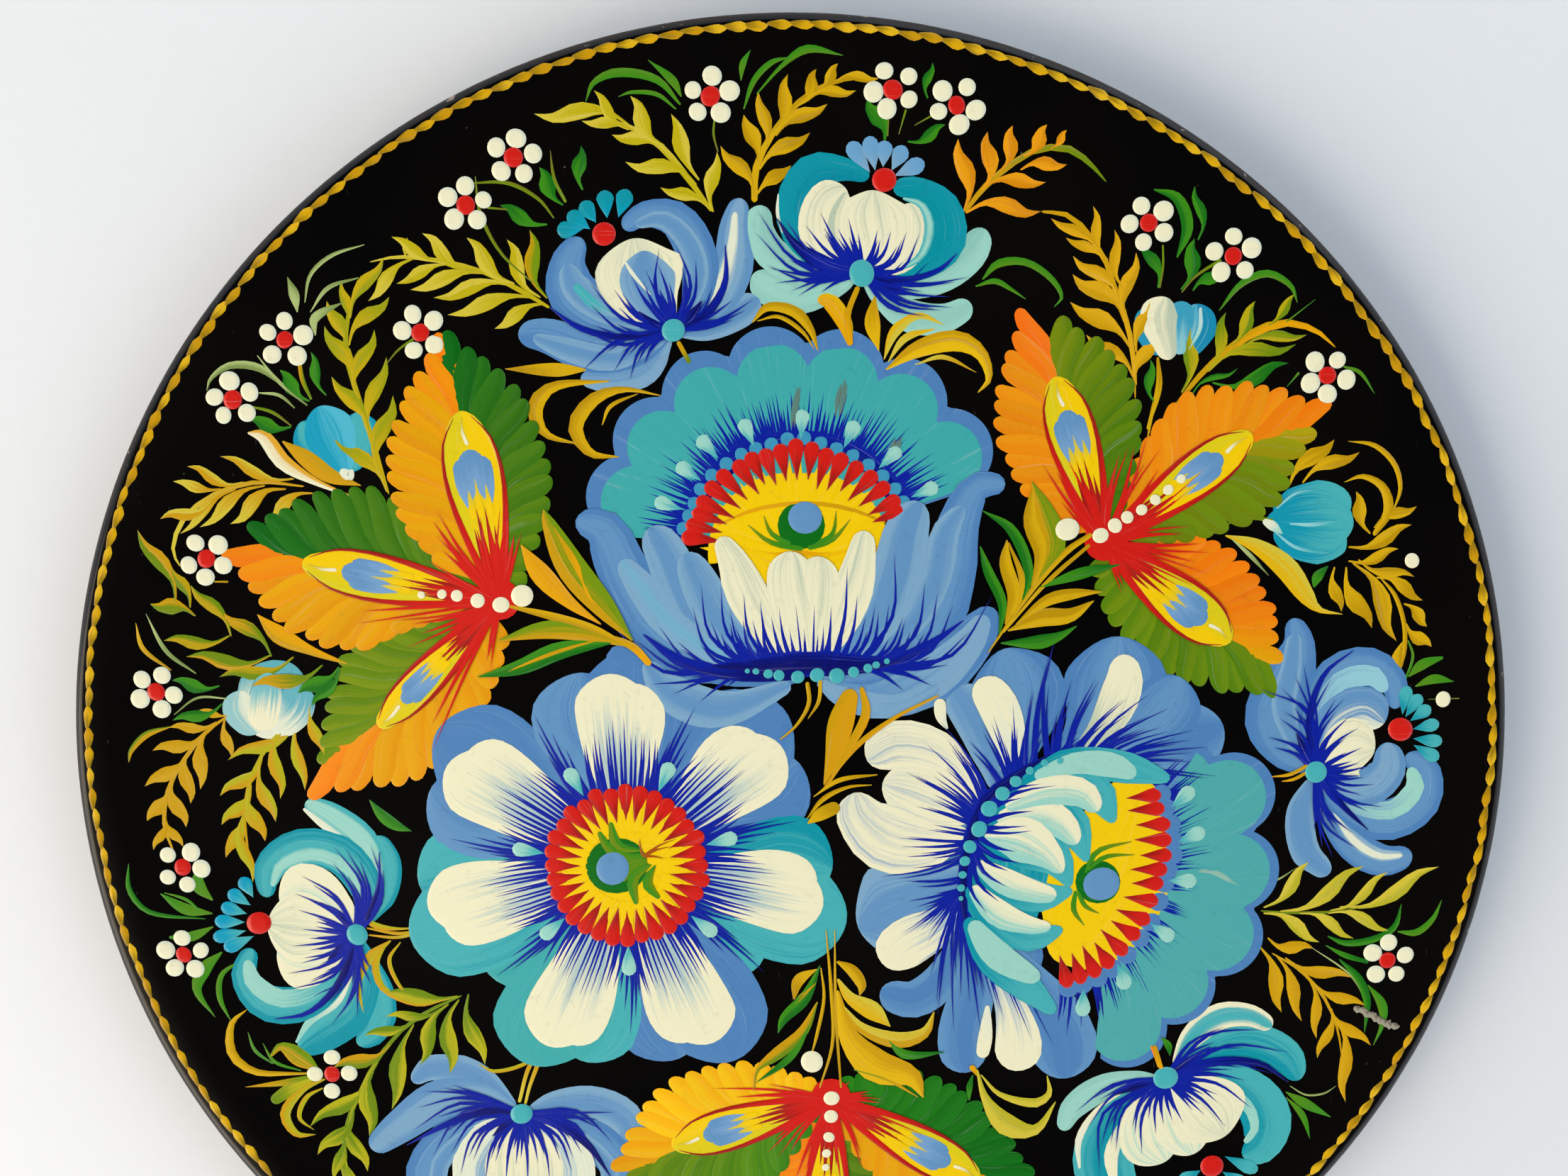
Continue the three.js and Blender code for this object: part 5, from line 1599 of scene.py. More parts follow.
def strokes(work, rows, layer=2):
    for colours, points in rows:
        work.dab(points, colours, "left" if len(points) > 3 else "tip", layer, 20,
            3 if max(p[2] for p in points) < 3 else 4, rise=0.04)


lemonPair = (tint(196, 178, 16), straw)
goldPair = (tint(218, 172, 10), tint(190, 146, 2))
olivePair = (tint(120, 150, 10), gold)
greenPair = (leafGreen, tint(24, 112, 20))
palePair = (paleGreen, tint(130, 150, 80))
bladePair = (tint(84, 140, 24), leafGreen)
stemPair = (olive, tint(120, 120, 30))
strawPair = (straw, tint(190, 180, 40))


def paintSpraysTop():
    work = Brushwork("spraysTop", 81)
    spray(work, [(-18.5, 130.6, 0.8), (-24, 138, 1.4), (-30, 145, 1.5), (-36, 149, 1.2), (-41, 151, 0.4)],
          [(-19, 131.2, -30.5, 136, 3.4), (-22, 136.6, -38.6, 141.8, 4), (-30, 144.6, -41.6, 147.9, 3.6),
          (-36.5, 148.8, -48.6, 151, 3),
           (-37.4, 150, -59.6, 152.6, 4.4), (-37.6, 149, -45.6, 157.8, 3),
           (-29.4, 145.4, -37.2, 156.6, 4.4), (-21.4, 137.6, -27.8, 152.6, 4.4),
           (-18.2, 130.4, -17.2, 144, 4)], lemonPair)
    spray(work, [(-8.6, 132.6, 1.4), (-8, 141, 1.6), (-3, 150, 1.4), (4, 157, 1.2), (11, 160, 1),
        (17, 160.6, 0.4)],
          [(-8.6, 133.6, -16.4, 145.4, 4), (-7.6, 141.4, -11, 152.4, 4.4), (-6, 144, -7.6, 157.6, 3.6),
          (-4.4, 148.4, -0.8, 161.4, 3.8),
           (1.6, 154.4, 5.8, 162.6, 3.4), (6, 158, 10.8, 163.8, 3), (10, 159.6, 20.4, 160.6, 2.6),
           (3.6, 155.4, 15, 157.8, 3),
           (-3.6, 147.6, 8.4, 154.8, 3.8), (-7.4, 140, 4.4, 148.4, 4), (-8, 134.4, 0, 141, 3.8)], goldPair)
    spray(work, [(40.6, 130.4, 0.8), (45, 136, 1.3), (52, 141.8, 1.4), (58, 144.8, 1.4), (65, 144.6, 1.6),
        (70, 141, 1), (73.6, 137.2, 0.2)],
          [(40.4, 130.6, 38.8, 147, 4.8), (44.6, 135.4, 45.6, 148.6, 4.4), (48.6, 139.6, 51.4, 150, 4),
          (54, 143, 59.4, 150.2, 3.8),
           (60.2, 144.8, 64, 149, 2.2), (53.4, 140, 64.2, 141.2, 3.6), (45.2, 136.4, 59.4, 137.2, 3.8),
           (40.8, 130.2, 58.4, 130.6, 4.2)],
          (tint(240, 160, 16), tint(220, 140, 8)), stemColours=(gold, olive))
    spray(work, [(81.9, 87, 0.2), (81.2, 96, 1.1), (79.4, 105, 1.2), (76.6, 112, 1.2), (74, 119, 1.2),
        (70, 125, 1.3), (65, 129.6, 1.2), (58.4, 130.6, 0.5)],
          [(81.4, 92, 69.8, 102.2, 3.8), (80.4, 99, 65.8, 109.8, 4.8), (78.8, 105, 66.2, 116.2, 4.8),
          (77.4, 109.6, 66.2, 120.4, 3.6),
           (74, 119.2, 64.4, 124.6, 2.8), (72.4, 121.6, 60.8, 129, 3), (74.4, 119.4, 70.6, 131.8, 2.8),
           (78.4, 112.6, 75.8, 126.4, 3),
           (79.8, 105, 81, 121.2, 3.8), (81.8, 98, 84.6, 110, 3.8), (82, 90.4, 87, 102.6, 3.8)],
           (tint(226, 172, 20), gold))
    spray(work, [(91.6, 85.6, 0.8), (97, 92.6, 1.3), (103, 98.4, 1.5), (110, 103, 2.2), (117, 105, 1.8),
        (124, 103.2, 1.2), (129, 99.2, 0.2)],
          [(92.8, 88.6, 94.6, 104, 4), (98.6, 94, 102.6, 107.4, 3.4), (104, 99.4, 109.4, 110, 3.8),
          (112.8, 104.4, 118.6, 111.6, 2.8),
           (99, 93.6, 119.6, 100, 3.8), (107, 99.6, 122, 102.2, 3)], (tint(186, 170, 14), olive),
           stemColours=(gold, amber))
    green = [
        [(-25.6, 154.6, 0.4), (-31, 160.2, 1.7), (-40, 161.8, 2.1), (-45.6, 159.6, 1.2),
        (-47.6, 155.2, 0.1)],
        [(-26.6, 153.6, 0.3), (-31, 156.9, 1), (-37, 157.4, 0.8), (-40, 156.4, 0.1)],
        [(-25.4, 156.4, 0.3), (-27.4, 160, 2), (-33, 164.6, 0.1)],
        [(-11, 153.6, 0.3), (-8.6, 160, 1.3), (-4.6, 164, 1.3), (-0.4, 165.2, 0.1)],
        [(-8, 157, 0.3), (-2, 163.4, 1), (3.6, 167, 1.9), (12, 165.6, 0.1)],
        [(-11.6, 160, 0.2), (-11.2, 163.6, 1.5), (-9.4, 166.8, 0.1)],
        [(45, 115, 0.3), (48.6, 118.6, 1.8), (55, 119, 1.7), (61, 115.4, 1.4), (63.8, 111, 0.8),
        (62, 108.6, 0.1)],
        [(43.4, 113.4, 0.3), (48, 114.6, 1.3), (52, 112.6, 0.8), (55.4, 110.4, 0.1)],
        [(101, 107.8, 0.2), (106, 114, 1.5), (112, 116.4, 1.7), (117.6, 113.6, 1.2), (119.4, 109.6, 0.1)],
        [(131, 94.8, 0.4), (135, 93.4, 0.9), (138.8, 88.4, 0.1)],
        [(120.6, 93.4, 0.6), (117.8, 90, 0.1)],
        [(117, 105.2, 0.4), (123.6, 110.4, 0.1)],
    ]
    strokes(work, [(bladePair, points) for points in green])
    for bx, by, tx, ty, width in ((21.6, 146, 17.6, 156, 4.8), (27, 146.4, 35.8, 150.2, 3.2),
        (31.6, 156, 32.6, 164, 2.4), (100, 91, 118, 95.6, 3.8),
                                  (95, 87.6, 106, 94.4, 1.6), (86.8, 86, 85.2, 96.4, 2.8),
                                  (91.8, 112.6, 94.6, 124.4, 4.4), (94.6, 112.4, 101.8, 116.4, 3.4),
                                  (86.4, 113, 82.4, 123.8, 3.2), (95.4, 124, 94.2, 136.4, 2.8)):
        leaf(work, bx, by, tx, ty, width, work.random.choice((-0.12, 0.12)), greenPair, 2)
    strokes(work, [(greenPair, [(90.6, 120, 0.3), (92.8, 127, 2.8), (90.2, 133.6, 2.4),
        (84.6, 135.6, 0.3)]),
                   (stemPair, [(-17.7, 152, 0.4), (-18, 148, 0.5), (-17, 144, 0.3)]),
                   (stemPair, [(22.6, 153.6, 0.4), (22.4, 147.6, 0.3)]),
                   (stemPair, [(26.6, 153.6, 0.5), (25, 148, 0.2)]),
                   (stemPair, [(34, 153, 0.5), (28.6, 150, 0.2)]),
                   (stemPair, [(87.2, 123, 0.4), (87.4, 118, 0.5), (86.8, 113, 0.4)]),
                   (stemPair, [(101, 119.6, 0.7), (95, 115.6, 0.6), (92, 112, 0.3)]),
                   (goldPair, [(85, 80, 0.5), (87.4, 90, 1.5), (86.9, 97, 0.6)]),
                   (goldPair, [(85.2, 78, 0.3), (86, 84, 0.9), (87, 89, 0.5)])])
    work.done()

    low = Brushwork("curlsTop", 82)
    strokes(low, [
        (goldPair, [(-9.2, 105, 0.2), (-5.6, 108.6, 2), (0.6, 107.8, 2.8), (4.6, 103.4, 1.8),
        (6.4, 98.4, 0.2)]),
        (goldPair, [(-8, 105.4, 0.2), (-3, 106.4, 0.9), (2.6, 103, 0.9), (5.6, 98.8, 0.1)]),
        ((brightGold, amber), [(14, 99.6, 1.2), (12.6, 105, 3.6), (9, 110, 4), (6.2, 110.4, 1.8)]),
        ((brightGold, gold), [(20.8, 98.4, 0.2), (19.2, 105, 3.7), (19.8, 111.4, 0.2)]),
        ((straw, brightGold), [(22, 96.4, 0.2), (24.6, 103, 2.5), (30, 106.6, 2), (36, 104.6, 0.2)]),
        ((straw, brightGold), [(23, 95.8, 0.2), (27, 101.4, 1.8), (34, 103.6, 0.3)]),
        ((tint(236, 190, 12), gold), [(22.4, 94, 0.3), (30, 98.8, 3.8), (39, 100.8, 5), (44.8, 98, 3.2),
        (47, 92, 1.5), (44.4, 88.6, 0.2)]),
        ((straw, gold), [(29.4, 95.2, 0.2), (36, 97, 1.1), (44, 93.4, 0.1)]),
        (goldPair, [(-48.6, 94, 0.5), (-56, 94, 3.3), (-67.8, 94.2, 0.2)]),
        (goldPair, [(-50.6, 76.4, 0.2), (-58.6, 79, 1.9), (-61, 85, 3.9), (-56.6, 90, 2.4),
        (-43, 91.4, 0.3)]),
        (goldPair, [(-41, 73.4, 0.2), (-48, 74.4, 2), (-51.4, 80.6, 3.6), (-47, 87, 3.2), (-40, 89.4, 1.4),
        (-31, 88, 0.2)]),
        (goldPair, [(-45, 81, 0.2), (-43, 85.4, 1), (-36.4, 88.4, 0.2)]),
    ])
    low.done()


def paintSpraysLeft():
    work = Brushwork("spraysUpperLeft", 83)
    spray(work, [(-56.8, 108.4, 0.6), (-64, 112.6, 1.2), (-72, 116.6, 1.1), (-82, 119.2, 1),
        (-92, 120.2, 0.8), (-99, 119, 0.2)],
          [(-58, 109.4, -70, 103.6, 3.8), (-60.4, 110.8, -81, 106.8, 4.2), (-65, 113.4, -84.2, 110.8, 4),
          (-72, 116.4, -89.6, 112.6, 4),
           (-80, 118.6, -92.8, 114, 3.2), (-88.6, 119.8, -99.6, 110, 3.6), (-59, 110.8, -66.6, 124.2, 4),
           (-65, 114, -76, 124.6, 4.4),
           (-74.6, 117.4, -86.4, 125.6, 3.8), (-81.6, 119, -93.6, 124.8, 3.4),
           (-90, 119.6, -90, 124.6, 1.6)], lemonPair)
    leaf(work, -57.4, 110.6, -61.2, 126.4, 4.2, 0.12, olivePair, 2)
    spray(work, [(-96.4, 64.4, 0.4), (-99.6, 76, 1.3), (-103, 88, 1.3), (-105.4, 98, 1.2), (-104.6, 106, 1),
        (-101, 116, 0.3)],
          [(-96.8, 65, -109.4, 78.4, 4.4), (-98, 68.6, -94.6, 88, 4.6), (-100.4, 78.6, -95.8, 97, 4),
          (-100.6, 79, -109, 92.4, 4.2),
           (-103, 87, -98.4, 103.4, 3.8), (-104, 90, -110.2, 104.2, 4.4), (-105.2, 98, -109.4, 110, 4),
           (-104.6, 99.6, -94.6, 111, 3.8),
           (-105, 104, -105.8, 114.6, 2.8), (-104, 106, -95.6, 120, 3.6)],
           (tint(200, 172, 14), tint(160, 160, 12)))
    spray(work, [(-116.6, 66.4, 0.4), (-128, 67.4, 1), (-138, 64.6, 1.2), (-146, 58.6, 1.2),
        (-149, 51, 0.8), (-147.4, 47, 0.3)],
          [(-119, 68.2, -136.4, 73.6, 3.2), (-131, 67.4, -144.4, 71.2, 3), (-136.4, 65.8, -148, 67.6, 3),
          (-138.6, 63.4, -151.6, 58.6, 3.4),
           (-133, 65.8, -147, 55, 2.8), (-126, 66.6, -142.2, 56.6, 3.6), (-121, 65.8, -134.8, 57.4, 4),
           (-114.6, 64.8, -126.6, 57.8, 3.6)], (gold, straw))
    strokes(work, [
        ((cream, tint(230, 170, 40)), [(-129.6, 79.2, 0.3), (-125.8, 78.2, 3.4), (-121.4, 72.2, 3.8),
        (-114, 67.6, 1.8), (-103.4, 63.2, 0.2)]),
        ((tint(214, 158, 10), gold), [(-121.4, 77.2, 0.3), (-115.8, 73, 4.2), (-110.4, 69, 3.6),
        (-103, 66.6, 0.2)]),
        (palePair, [(-119, 89, 0.3), (-126, 94.4, 1.8), (-133, 95, 1.6), (-137.6, 92, 0.9),
        (-138.8, 89, 0.1)]),
        (palePair, [(-114.6, 109.6, 0.2), (-113, 116, 0.9), (-108, 120.4, 0.9), (-100, 123, 0.2)]),
        (palePair, [(-113.4, 107.4, 0.2), (-109, 113, 1), (-101.6, 115.4, 0.3)]),
        (palePair, [(-112.4, 102, 0.2), (-112.4, 106, 2.2), (-105.4, 109.8, 0.1)]),
        (palePair, [(-116.4, 107.4, 0.2), (-117, 111.4, 2.4), (-118.4, 115.6, 0.1)]),
        ((gold, olive), [(-116.6, 99, 0.5), (-116, 92, 1.1), (-114, 87, 0.5)]),
        (palePair, [(-126.4, 97.4, 0.2), (-121.4, 91, 0.8), (-115, 85.6, 0.4)]),
        (palePair, [(-126.4, 88.6, 0.3), (-121.6, 88, 0.8), (-118, 85, 0.3)]),
        (stemPair, [(-128.6, 85.4, 0.4), (-123.4, 84, 0.8), (-119, 80.8, 0.3)]),
        (stemPair, [(-73.6, 138.6, 0.2), (-72.6, 130, 0.8), (-68, 121, 0.7), (-60, 113.6, 0.2)]),
        (stemPair, [(-74.6, 137, 0.3), (-66, 137, 0.9), (-59, 133.4, 0.8), (-55.4, 129, 0.3)]),
        (stemPair, [(-89, 101.4, 0.6), (-93, 98.6, 0.5), (-96, 95.2, 0.2)]),
        (stemPair, [(-52.6, 132.6, 0.7), (-55.2, 138, 0.8), (-56, 144.4, 0.1)]),
        (stemPair, [(-71, 131.4, 0.5), (-66, 131, 0.4)]), (goldPair,
        [(-139.4, 43.4, 0.3), (-136, 43.4, 0.5)]),
    ])
    for bx, by, tx, ty, width in ((-57, 127.6, -68, 132, 4), (-53.2, 132, -58.6, 140.6, 4.4),
        (-48.6, 135.4, -48.8, 145.4, 3.8), (-114.4, 86.6, -121.2, 94, 4.2),
                                  (-110.4, 88, -113.6, 98.2, 3), (-119, 80.6, -129.2, 82.4, 4.2)):
        leaf(work, bx, by, tx, ty, width, 0.1, greenPair, 2)
    work.done()

    mid = Brushwork("spraysLeft", 84)
    mixes = ((olive, gold), (tint(190, 160, 12), olive))
    for k, (bx, by, tx, ty, width) in enumerate((
            (-149, 38, -157.2, 56, 4.4), (-145.6, 37, -149.6, 47, 3.4), (-144.4, 35, -155.2, 38, 4.6),
            (-136, 30, -145.2, 42.6, 3.8), (-126.4, 25, -138.4, 36.4, 4),
            (-136.4, 30.2, -152.4, 29, 3.8), (-126.6, 25.4, -147.2, 25, 4.2), (-121, 25, -139.4, 20, 3.8),
            (-114, 23, -131.6, 17.8, 4.2), (-110, 22.6, -120.4, 16, 4.6),
            (-110, 22.4, -117.2, 12.8, 3.2))):
        leaf(mid, bx, by, tx, ty, width, -0.1 if ty > by else 0.1, greenPair if k > 8 else mixes[k % 2],
            7 if k > 7 else 2)
    strokes(mid, [
        ((amber, gold), [(-108, 23.2, 0.3), (-117, 26.6, 2.4), (-124.6, 30.6, 4.4), (-129.4, 35.4, 0.2)]),
        (palePair, [(-156.4, 35.6, 0.1), (-152, 26.4, 1.1), (-145, 20.8, 0.3)]),
        (goldPair, [(-159, 33.4, 0.1), (-157.6, 27, 1.2), (-151, 21.6, 0.3)]),
        (palePair, [(-137.6, 14.6, 0.3), (-145, 14.8, 0.6), (-151, 10.6, 0.2)]),
        ((olive, gold), [(-152, 7.6, 0.3), (-158, 5.6, 1.6), (-162, 1.6, 1.2), (-162.8, -1.4, 0.1)]),
    ])
    for bx, by, tx, ty, width in ((-139.4, 17.8, -151, 19.2, 3.8), (-139, 13.4, -151.4, 9.2, 3.4)):
        leaf(mid, bx, by, tx, ty, width, 0.1, greenPair, 2)
    spray(mid, [(-137.6, 10.4, 0.4), (-143, 6.6, 1), (-149, -0.4, 1), (-153.4, -8, 1.1), (-155, -17, 1),
        (-153, -24.4, 0.4)],
          [(-137.8, 10.4, -144.8, 11.8, 2.4), (-140.6, 8.8, -152.4, 7.4, 3), (-144, 6, -156.8, 1.6, 3.8),
          (-148, 1, -159.2, -7.4, 4), (-153.4, -7.6, -159.2, -16.2, 4.2),
           (-154.8, -15, -158, -23.6, 2.6), (-138.6, 9.6, -137.4, 0, 3.2), (-143, 7, -145.6, -8.2, 4.2),
           (-147.6, 2, -148.2, -11.8, 4), (-152, -5.4, -149.6, -17.8, 4.2),
           (-154.6, -15, -150.6, -22.8, 2.8)], (gold, tint(210, 164, 30)))
    spray(mid, [(-118.6, 12, 0.4), (-127, 4.4, 0.9), (-132.4, -4, 0.9), (-135, -14, 0.9),
        (-134.6, -24, 0.4)],
          [(-120.6, 9.6, -138.4, -0.8, 3.6), (-117.6, 13.4, -114.6, 0, 3.4), (-121, 9, -119.8, -8.4, 3.6),
          (-124.4, 7, -126, -10.6, 3.8), (-129.8, 0.4, -140.8, -9.8, 3.8),
           (-130.6, -2, -127.4, -16.4, 4.2), (-133, -7, -140.8, -17.2, 4), (-133.6, -8, -130.2, -21.4, 4.4),
           (-135, -13.6, -140.2, -25.6, 4), (-135, -14, -133.8, -32, 3.4)],
          (lime, gold))
    mid.done()


def paintSpraysLow():
    work = Brushwork("spraysLowerLeft", 85)
    strokes(work, [
        (bladePair, [(-144, -36.6, 0.4), (-147.4, -32.6, 3.4), (-146.6, -27.4, 0.3)]),
        (bladePair, [(-144.2, -40, 0.3), (-151, -38.8, 3), (-157, -34.8, 0.2)]),
        (greenPair, [(-164.4, -27, 0.1), (-164.6, -34, 1.4), (-160, -39.6, 1.3), (-146, -41.4, 0.2)]),
        (bladePair, [(-144.2, -43.4, 0.3), (-150, -46, 2.6), (-155.4, -46.2, 0.6)]),
        (bladePair, [(-142.4, -50, 0.4), (-147, -54.4, 3.4), (-149.2, -60, 2.2), (-145, -67.2, 0.1)]),
        (bladePair, [(-138, -52.4, 0.3), (-142.8, -56, 1.3), (-143.6, -62, 1.4), (-141, -68.4, 0.1)]),
        (bladePair, [(-156, -34.6, 0.2), (-150.6, -36.4, 0.8), (-147, -39.6, 0.2)]),
        (goldPair, [(-136.8, -65, 0.1), (-141, -69, 1.5), (-141.2, -77, 2.4), (-136, -81.6, 1.9),
        (-127, -82.2, 0.9), (-119, -82, 0.3)]),
        (olivePair, [(-119.4, -81.4, 0.4), (-124, -78, 5), (-128.8, -75, 2.2), (-131.6, -77.6, 0.5)]),
        (olivePair, [(-120, -82.6, 0.5), (-127, -84.4, 1.8), (-138.4, -85.8, 0.1)]),
        ((lime, olive), [(-120, -83, 0.5), (-126, -85.8, 3.4), (-131.8, -89.8, 2.6)]),
        ((lime, gold), [(-121, -98.6, 0.1), (-126, -98.4, 1.8), (-128.6, -93, 2.6), (-124, -86.6, 1.8),
        (-118, -83.6, 0.4)]),
        ((lime, gold), [(-121.4, -97.4, 0.1), (-125, -94, 1.1), (-123, -88.6, 1.2), (-118.6, -86, 0.3)]),
        (bladePair, [(-137, -71, 0.1), (-135.4, -76, 0.9), (-131, -79.6, 0.3)]),
        (bladePair, [(-133.4, -74, 0.1), (-130.6, -79, 0.9), (-124, -81.4, 0.3)]),
        ((gold, lime), [(-106, -43.8, 0.4), (-97, -45.2, 0.9), (-88.6, -42.8, 0.3)]),
        ((gold, lime), [(-105.6, -45.6, 0.4), (-98, -46.2, 0.8), (-90, -44, 0.2)]),
        ((gold, lime), [(-108, -39.4, 0.3), (-104, -43, 1.6), (-98, -44, 0.7), (-92, -43.4, 0.2)]),
        ((gold, lime), [(-101, -47.6, 0.3), (-104.2, -53, 2.2), (-102.4, -59.6, 1.6), (-94, -63.9, 0.9),
        (-86, -62.4, 0.2)]),
        ((gold, lime), [(-97.6, -47.4, 0.3), (-100.6, -52, 1), (-98.8, -58, 1), (-95, -63, 0.2)]),
        ((gold, lime), [(-100, -47, 0.4), (-106, -52, 3), (-108.6, -58, 1.9), (-107.6, -66, 0.1)]),
        (greenPair, [(-104, -10.8, 0.2), (-101, -14.8, 2.8), (-97.6, -17.4, 2.6), (-93.8, -18.8, 0.1)]),
        ((gold, straw), [(-61, -74.4, 1.4), (-66, -80, 1.1), (-69, -90, 0.8)]),
        ((gold, straw), [(-62, -74.8, 1.2), (-66, -85, 0.9), (-67.6, -91, 0.6)]),
        ((lime, gold), [(-61.6, -74.2, 0.8), (-67, -79.4, 1), (-75, -81.6, 0.9), (-79, -79.6, 0.2)]),
    ])
    spray(work, [(-82.6, -61.4, 0.4), (-92, -66, 1), (-99, -71.4, 1), (-105.6, -80, 1), (-111, -91, 0.9),
        (-114, -101, 0.8), (-112.6, -113, 0.3)],
          [(-83.6, -61.6, -101.8, -60.6, 4.6), (-88, -64.8, -102, -67, 3), (-86, -63.6, -93.8, -79.8, 4.4),
          (-83.4, -62.4, -86.4, -82.2, 5), (-81, -61, -77.4, -79.8, 4.6),
           (-95, -69, -101.4, -91.8, 5), (-95, -68, -107.6, -72, 3.2), (-104.4, -79, -107.4, -99, 5.4),
           (-105.6, -81.4, -122.4, -96.4, 4.6), (-111, -91.6, -120.8, -104, 4.4),
           (-112.2, -92.4, -108.2, -108.6, 4.4), (-114, -98, -117, -111, 3.6),
           (-113.6, -101, -110, -117, 3.4)], (olive, lime), 2)
    leaf(work, -101, -74.4, -115.8, -80.6, 4.4, 0.1, (gold, olive), 3)
    work.done()

    mid = Brushwork("spraysMiddle", 86)
    strokes(mid, [
        (goldPair, [(8.8, -44, 0.2), (10.2, -60, 0.9), (10.6, -74, 0.8), (7.4, -86, 0.4)]),
        (goldPair, [(11, -44, 0.2), (11.4, -66, 0.8), (12.8, -86, 0.5)]),
        (goldPair, [(7.6, -54, 0.3), (8.4, -62, 0.8), (6.6, -72, 0.8), (5.4, -76.6, 0.3)]),
        (goldPair, [(6.6, -54.4, 0.2), (2, -57.4, 3), (0.8, -62.4, 0.4)]),
        (greenPair, [(7.4, -53.4, 0.2), (3.6, -62, 3), (-1.6, -67.4, 2.4), (-3.2, -71.4, 0.1)]),
        ((gold, leafGreen), [(6.4, -58, 0.2), (2.6, -62, 1.8), (0, -65, 0.2)]),
        ((gold, olive), [(6.8, -63, 0.3), (3, -71, 2.8), (-3.6, -77, 3.2), (-8.4, -81, 1),
        (-9.4, -87, 0.1)]), (greenPair, [(5, -69, 0.3), (0, -77.6, 2), (-8.8, -84.6, 0.1)]),
        (goldPair, [(11.6, -52.4, 0.5), (15.4, -54.8, 3), (17.8, -58.6, 2.4), (17.4, -61.4, 0.2)]),
        ((tint(226, 180, 16), straw), [(11.8, -57, 0.6), (15, -62, 3), (20.6, -65.4, 4.8),
        (25.2, -69.6, 0.2)]),
        ((gold, straw), [(13, -64, 0.5), (18, -70, 2.8), (27, -73.2, 4.2), (33.8, -71.2, 2.8),
        (36.2, -65.6, 0.2)]),
        ((tint(232, 184, 12), gold), [(11.8, -60, 0.6), (14.6, -72, 5), (21.6, -80, 8.6), (30.6, -83, 5.4),
        (33.8, -88.6, 0.2)]),
        (greenPair, [(24.4, -73, 0.2), (29, -77, 2.4), (38.8, -76.4, 0.2)]),
        (olivePair, [(16, -81, 0.3), (25, -84, 1), (32.4, -88.4, 0.2)]),
        (strawPair, [(47.2, -81, 0.4), (49.6, -89, 2.2), (55.2, -96, 6), (62.4, -97.2, 2.8),
        (67.4, -89.6, 0.2)]),
        (strawPair, [(48.2, -82.4, 0.3), (53, -87.6, 1.3), (62, -90, 2.4), (65.6, -87.6, 1.6),
        (65, -82.6, 0.2)]), (greenPair, [(45.4, -89.4, 0.2), (45.4, -85.6, 1.6), (46.2, -82.4, 0.2)]),
        ((amber, gold), [(45.6, -80, 1.6), (47.6, -82.6, 0.9)]),
        ((tint(220, 158, 8), gold), [(8.2, -7, 0.3), (10.4, 0, 4), (12.4, 9, 6.2), (15, 17, 3.6)]),
        ((tint(220, 158, 8), gold), [(8.6, -8, 0.3), (15, 3.6, 2), (18.4, 11, 2.2), (17.2, 17.6, 1)]),
        ((tint(220, 158, 8), gold), [(8, -8, 0.3), (16, 2.6, 1.3), (25, 9.6, 1), (36, 15.4, 0.5)]),
        (goldPair, [(5.6, -10, 0.2), (12, -5.8, 1.2), (21.4, -4.4, 0.3)]),
        (goldPair, [(4, -15.6, 0.2), (8, -10.6, 1.2), (14, -7.6, 0.8), (20, -7, 0.2)]),
        (goldPair, [(4.2, -16.8, 0.3), (7.2, -14.6, 3.2), (12, -12.2, 3)]),
        (goldPair, [(4, 18.8, 1), (4.4, 13.4, 1), (1.4, 8, 0.7), (-2.6, 4.4, 0.3)]),
        (goldPair, [(7.2, 19.6, 0.8), (6.8, 14, 0.9), (4.2, 9.6, 0.2)]),
        ((gold, amber), [(92, -74.6, 0.9), (93, -78, 1.1), (94, -81, 1)]),
        (greenPair, [(93.6, -72.4, 0.2), (95.4, -74.6, 1.8), (96, -77.4, 0.2)]),
        (olivePair, [(-38.4, 29, 0.4), (-45, 37, 5.4), (-53, 47, 7.4), (-58.4, 58, 3), (-59.4, 61, 0.2)]),
        ((amber, gold), [(-47.6, 37.6, 0.3), (-51.6, 46, 4), (-57.4, 57.4, 0.3)]),
        ((tint(226, 160, 6), amber), [(-46, 33, 0.3), (-53.6, 38.4, 3), (-60.6, 45.6, 5.2),
        (-65, 52.4, 0.3)]), (goldPair, [(-38.6, 27, 0.5), (-48, 31.8, 2.2), (-58, 35, 2),
        (-69, 37.6, 0.5)]),
        (olivePair, [(-39.6, 27.6, 0.3), (-50, 31.2, 4.6), (-60, 31.6, 4.4), (-71, 29, 0.3)]),
        (greenPair, [(-43, 28.6, 0.3), (-56, 26.6, 4.4), (-66, 22.4, 3.6), (-76.4, 20, 0.2)]),
        ((gold, amber), [(-46, 29.4, 0.3), (-57, 26.2, 1.8), (-70, 21, 0.2)]),
        ((amber, gold), [(-34.2, 23, 1.6), (-38.6, 27.6, 1.9), (-46, 30.6, 0.8)]),
        (greenPair, [(50.6, 30.4, 0.3), (51.2, 38, 2.2), (47.6, 46, 2.4), (45.6, 52, 0.3)]),
        (greenPair, [(56, 38, 0.3), (57.4, 46, 2.4), (53, 56, 2.4), (46, 60.6, 0.2)]),
        (goldPair, [(52, 33, 0.3), (54, 40, 3.2), (51.8, 48, 3), (52, 53.6, 0.2)]),
        (goldPair, [(53.6, 34, 0.3), (56, 43, 1.6), (52.4, 53, 0.4)]),
        (goldPair, [(58, 41, 0.3), (60.6, 50, 3.8), (57.6, 58, 3.6), (58, 66.4, 0.3)]),
        (olivePair, [(59.6, 43.6, 0.3), (63.4, 52, 5.4), (61, 60, 5), (57.6, 67.6, 0.2)]),
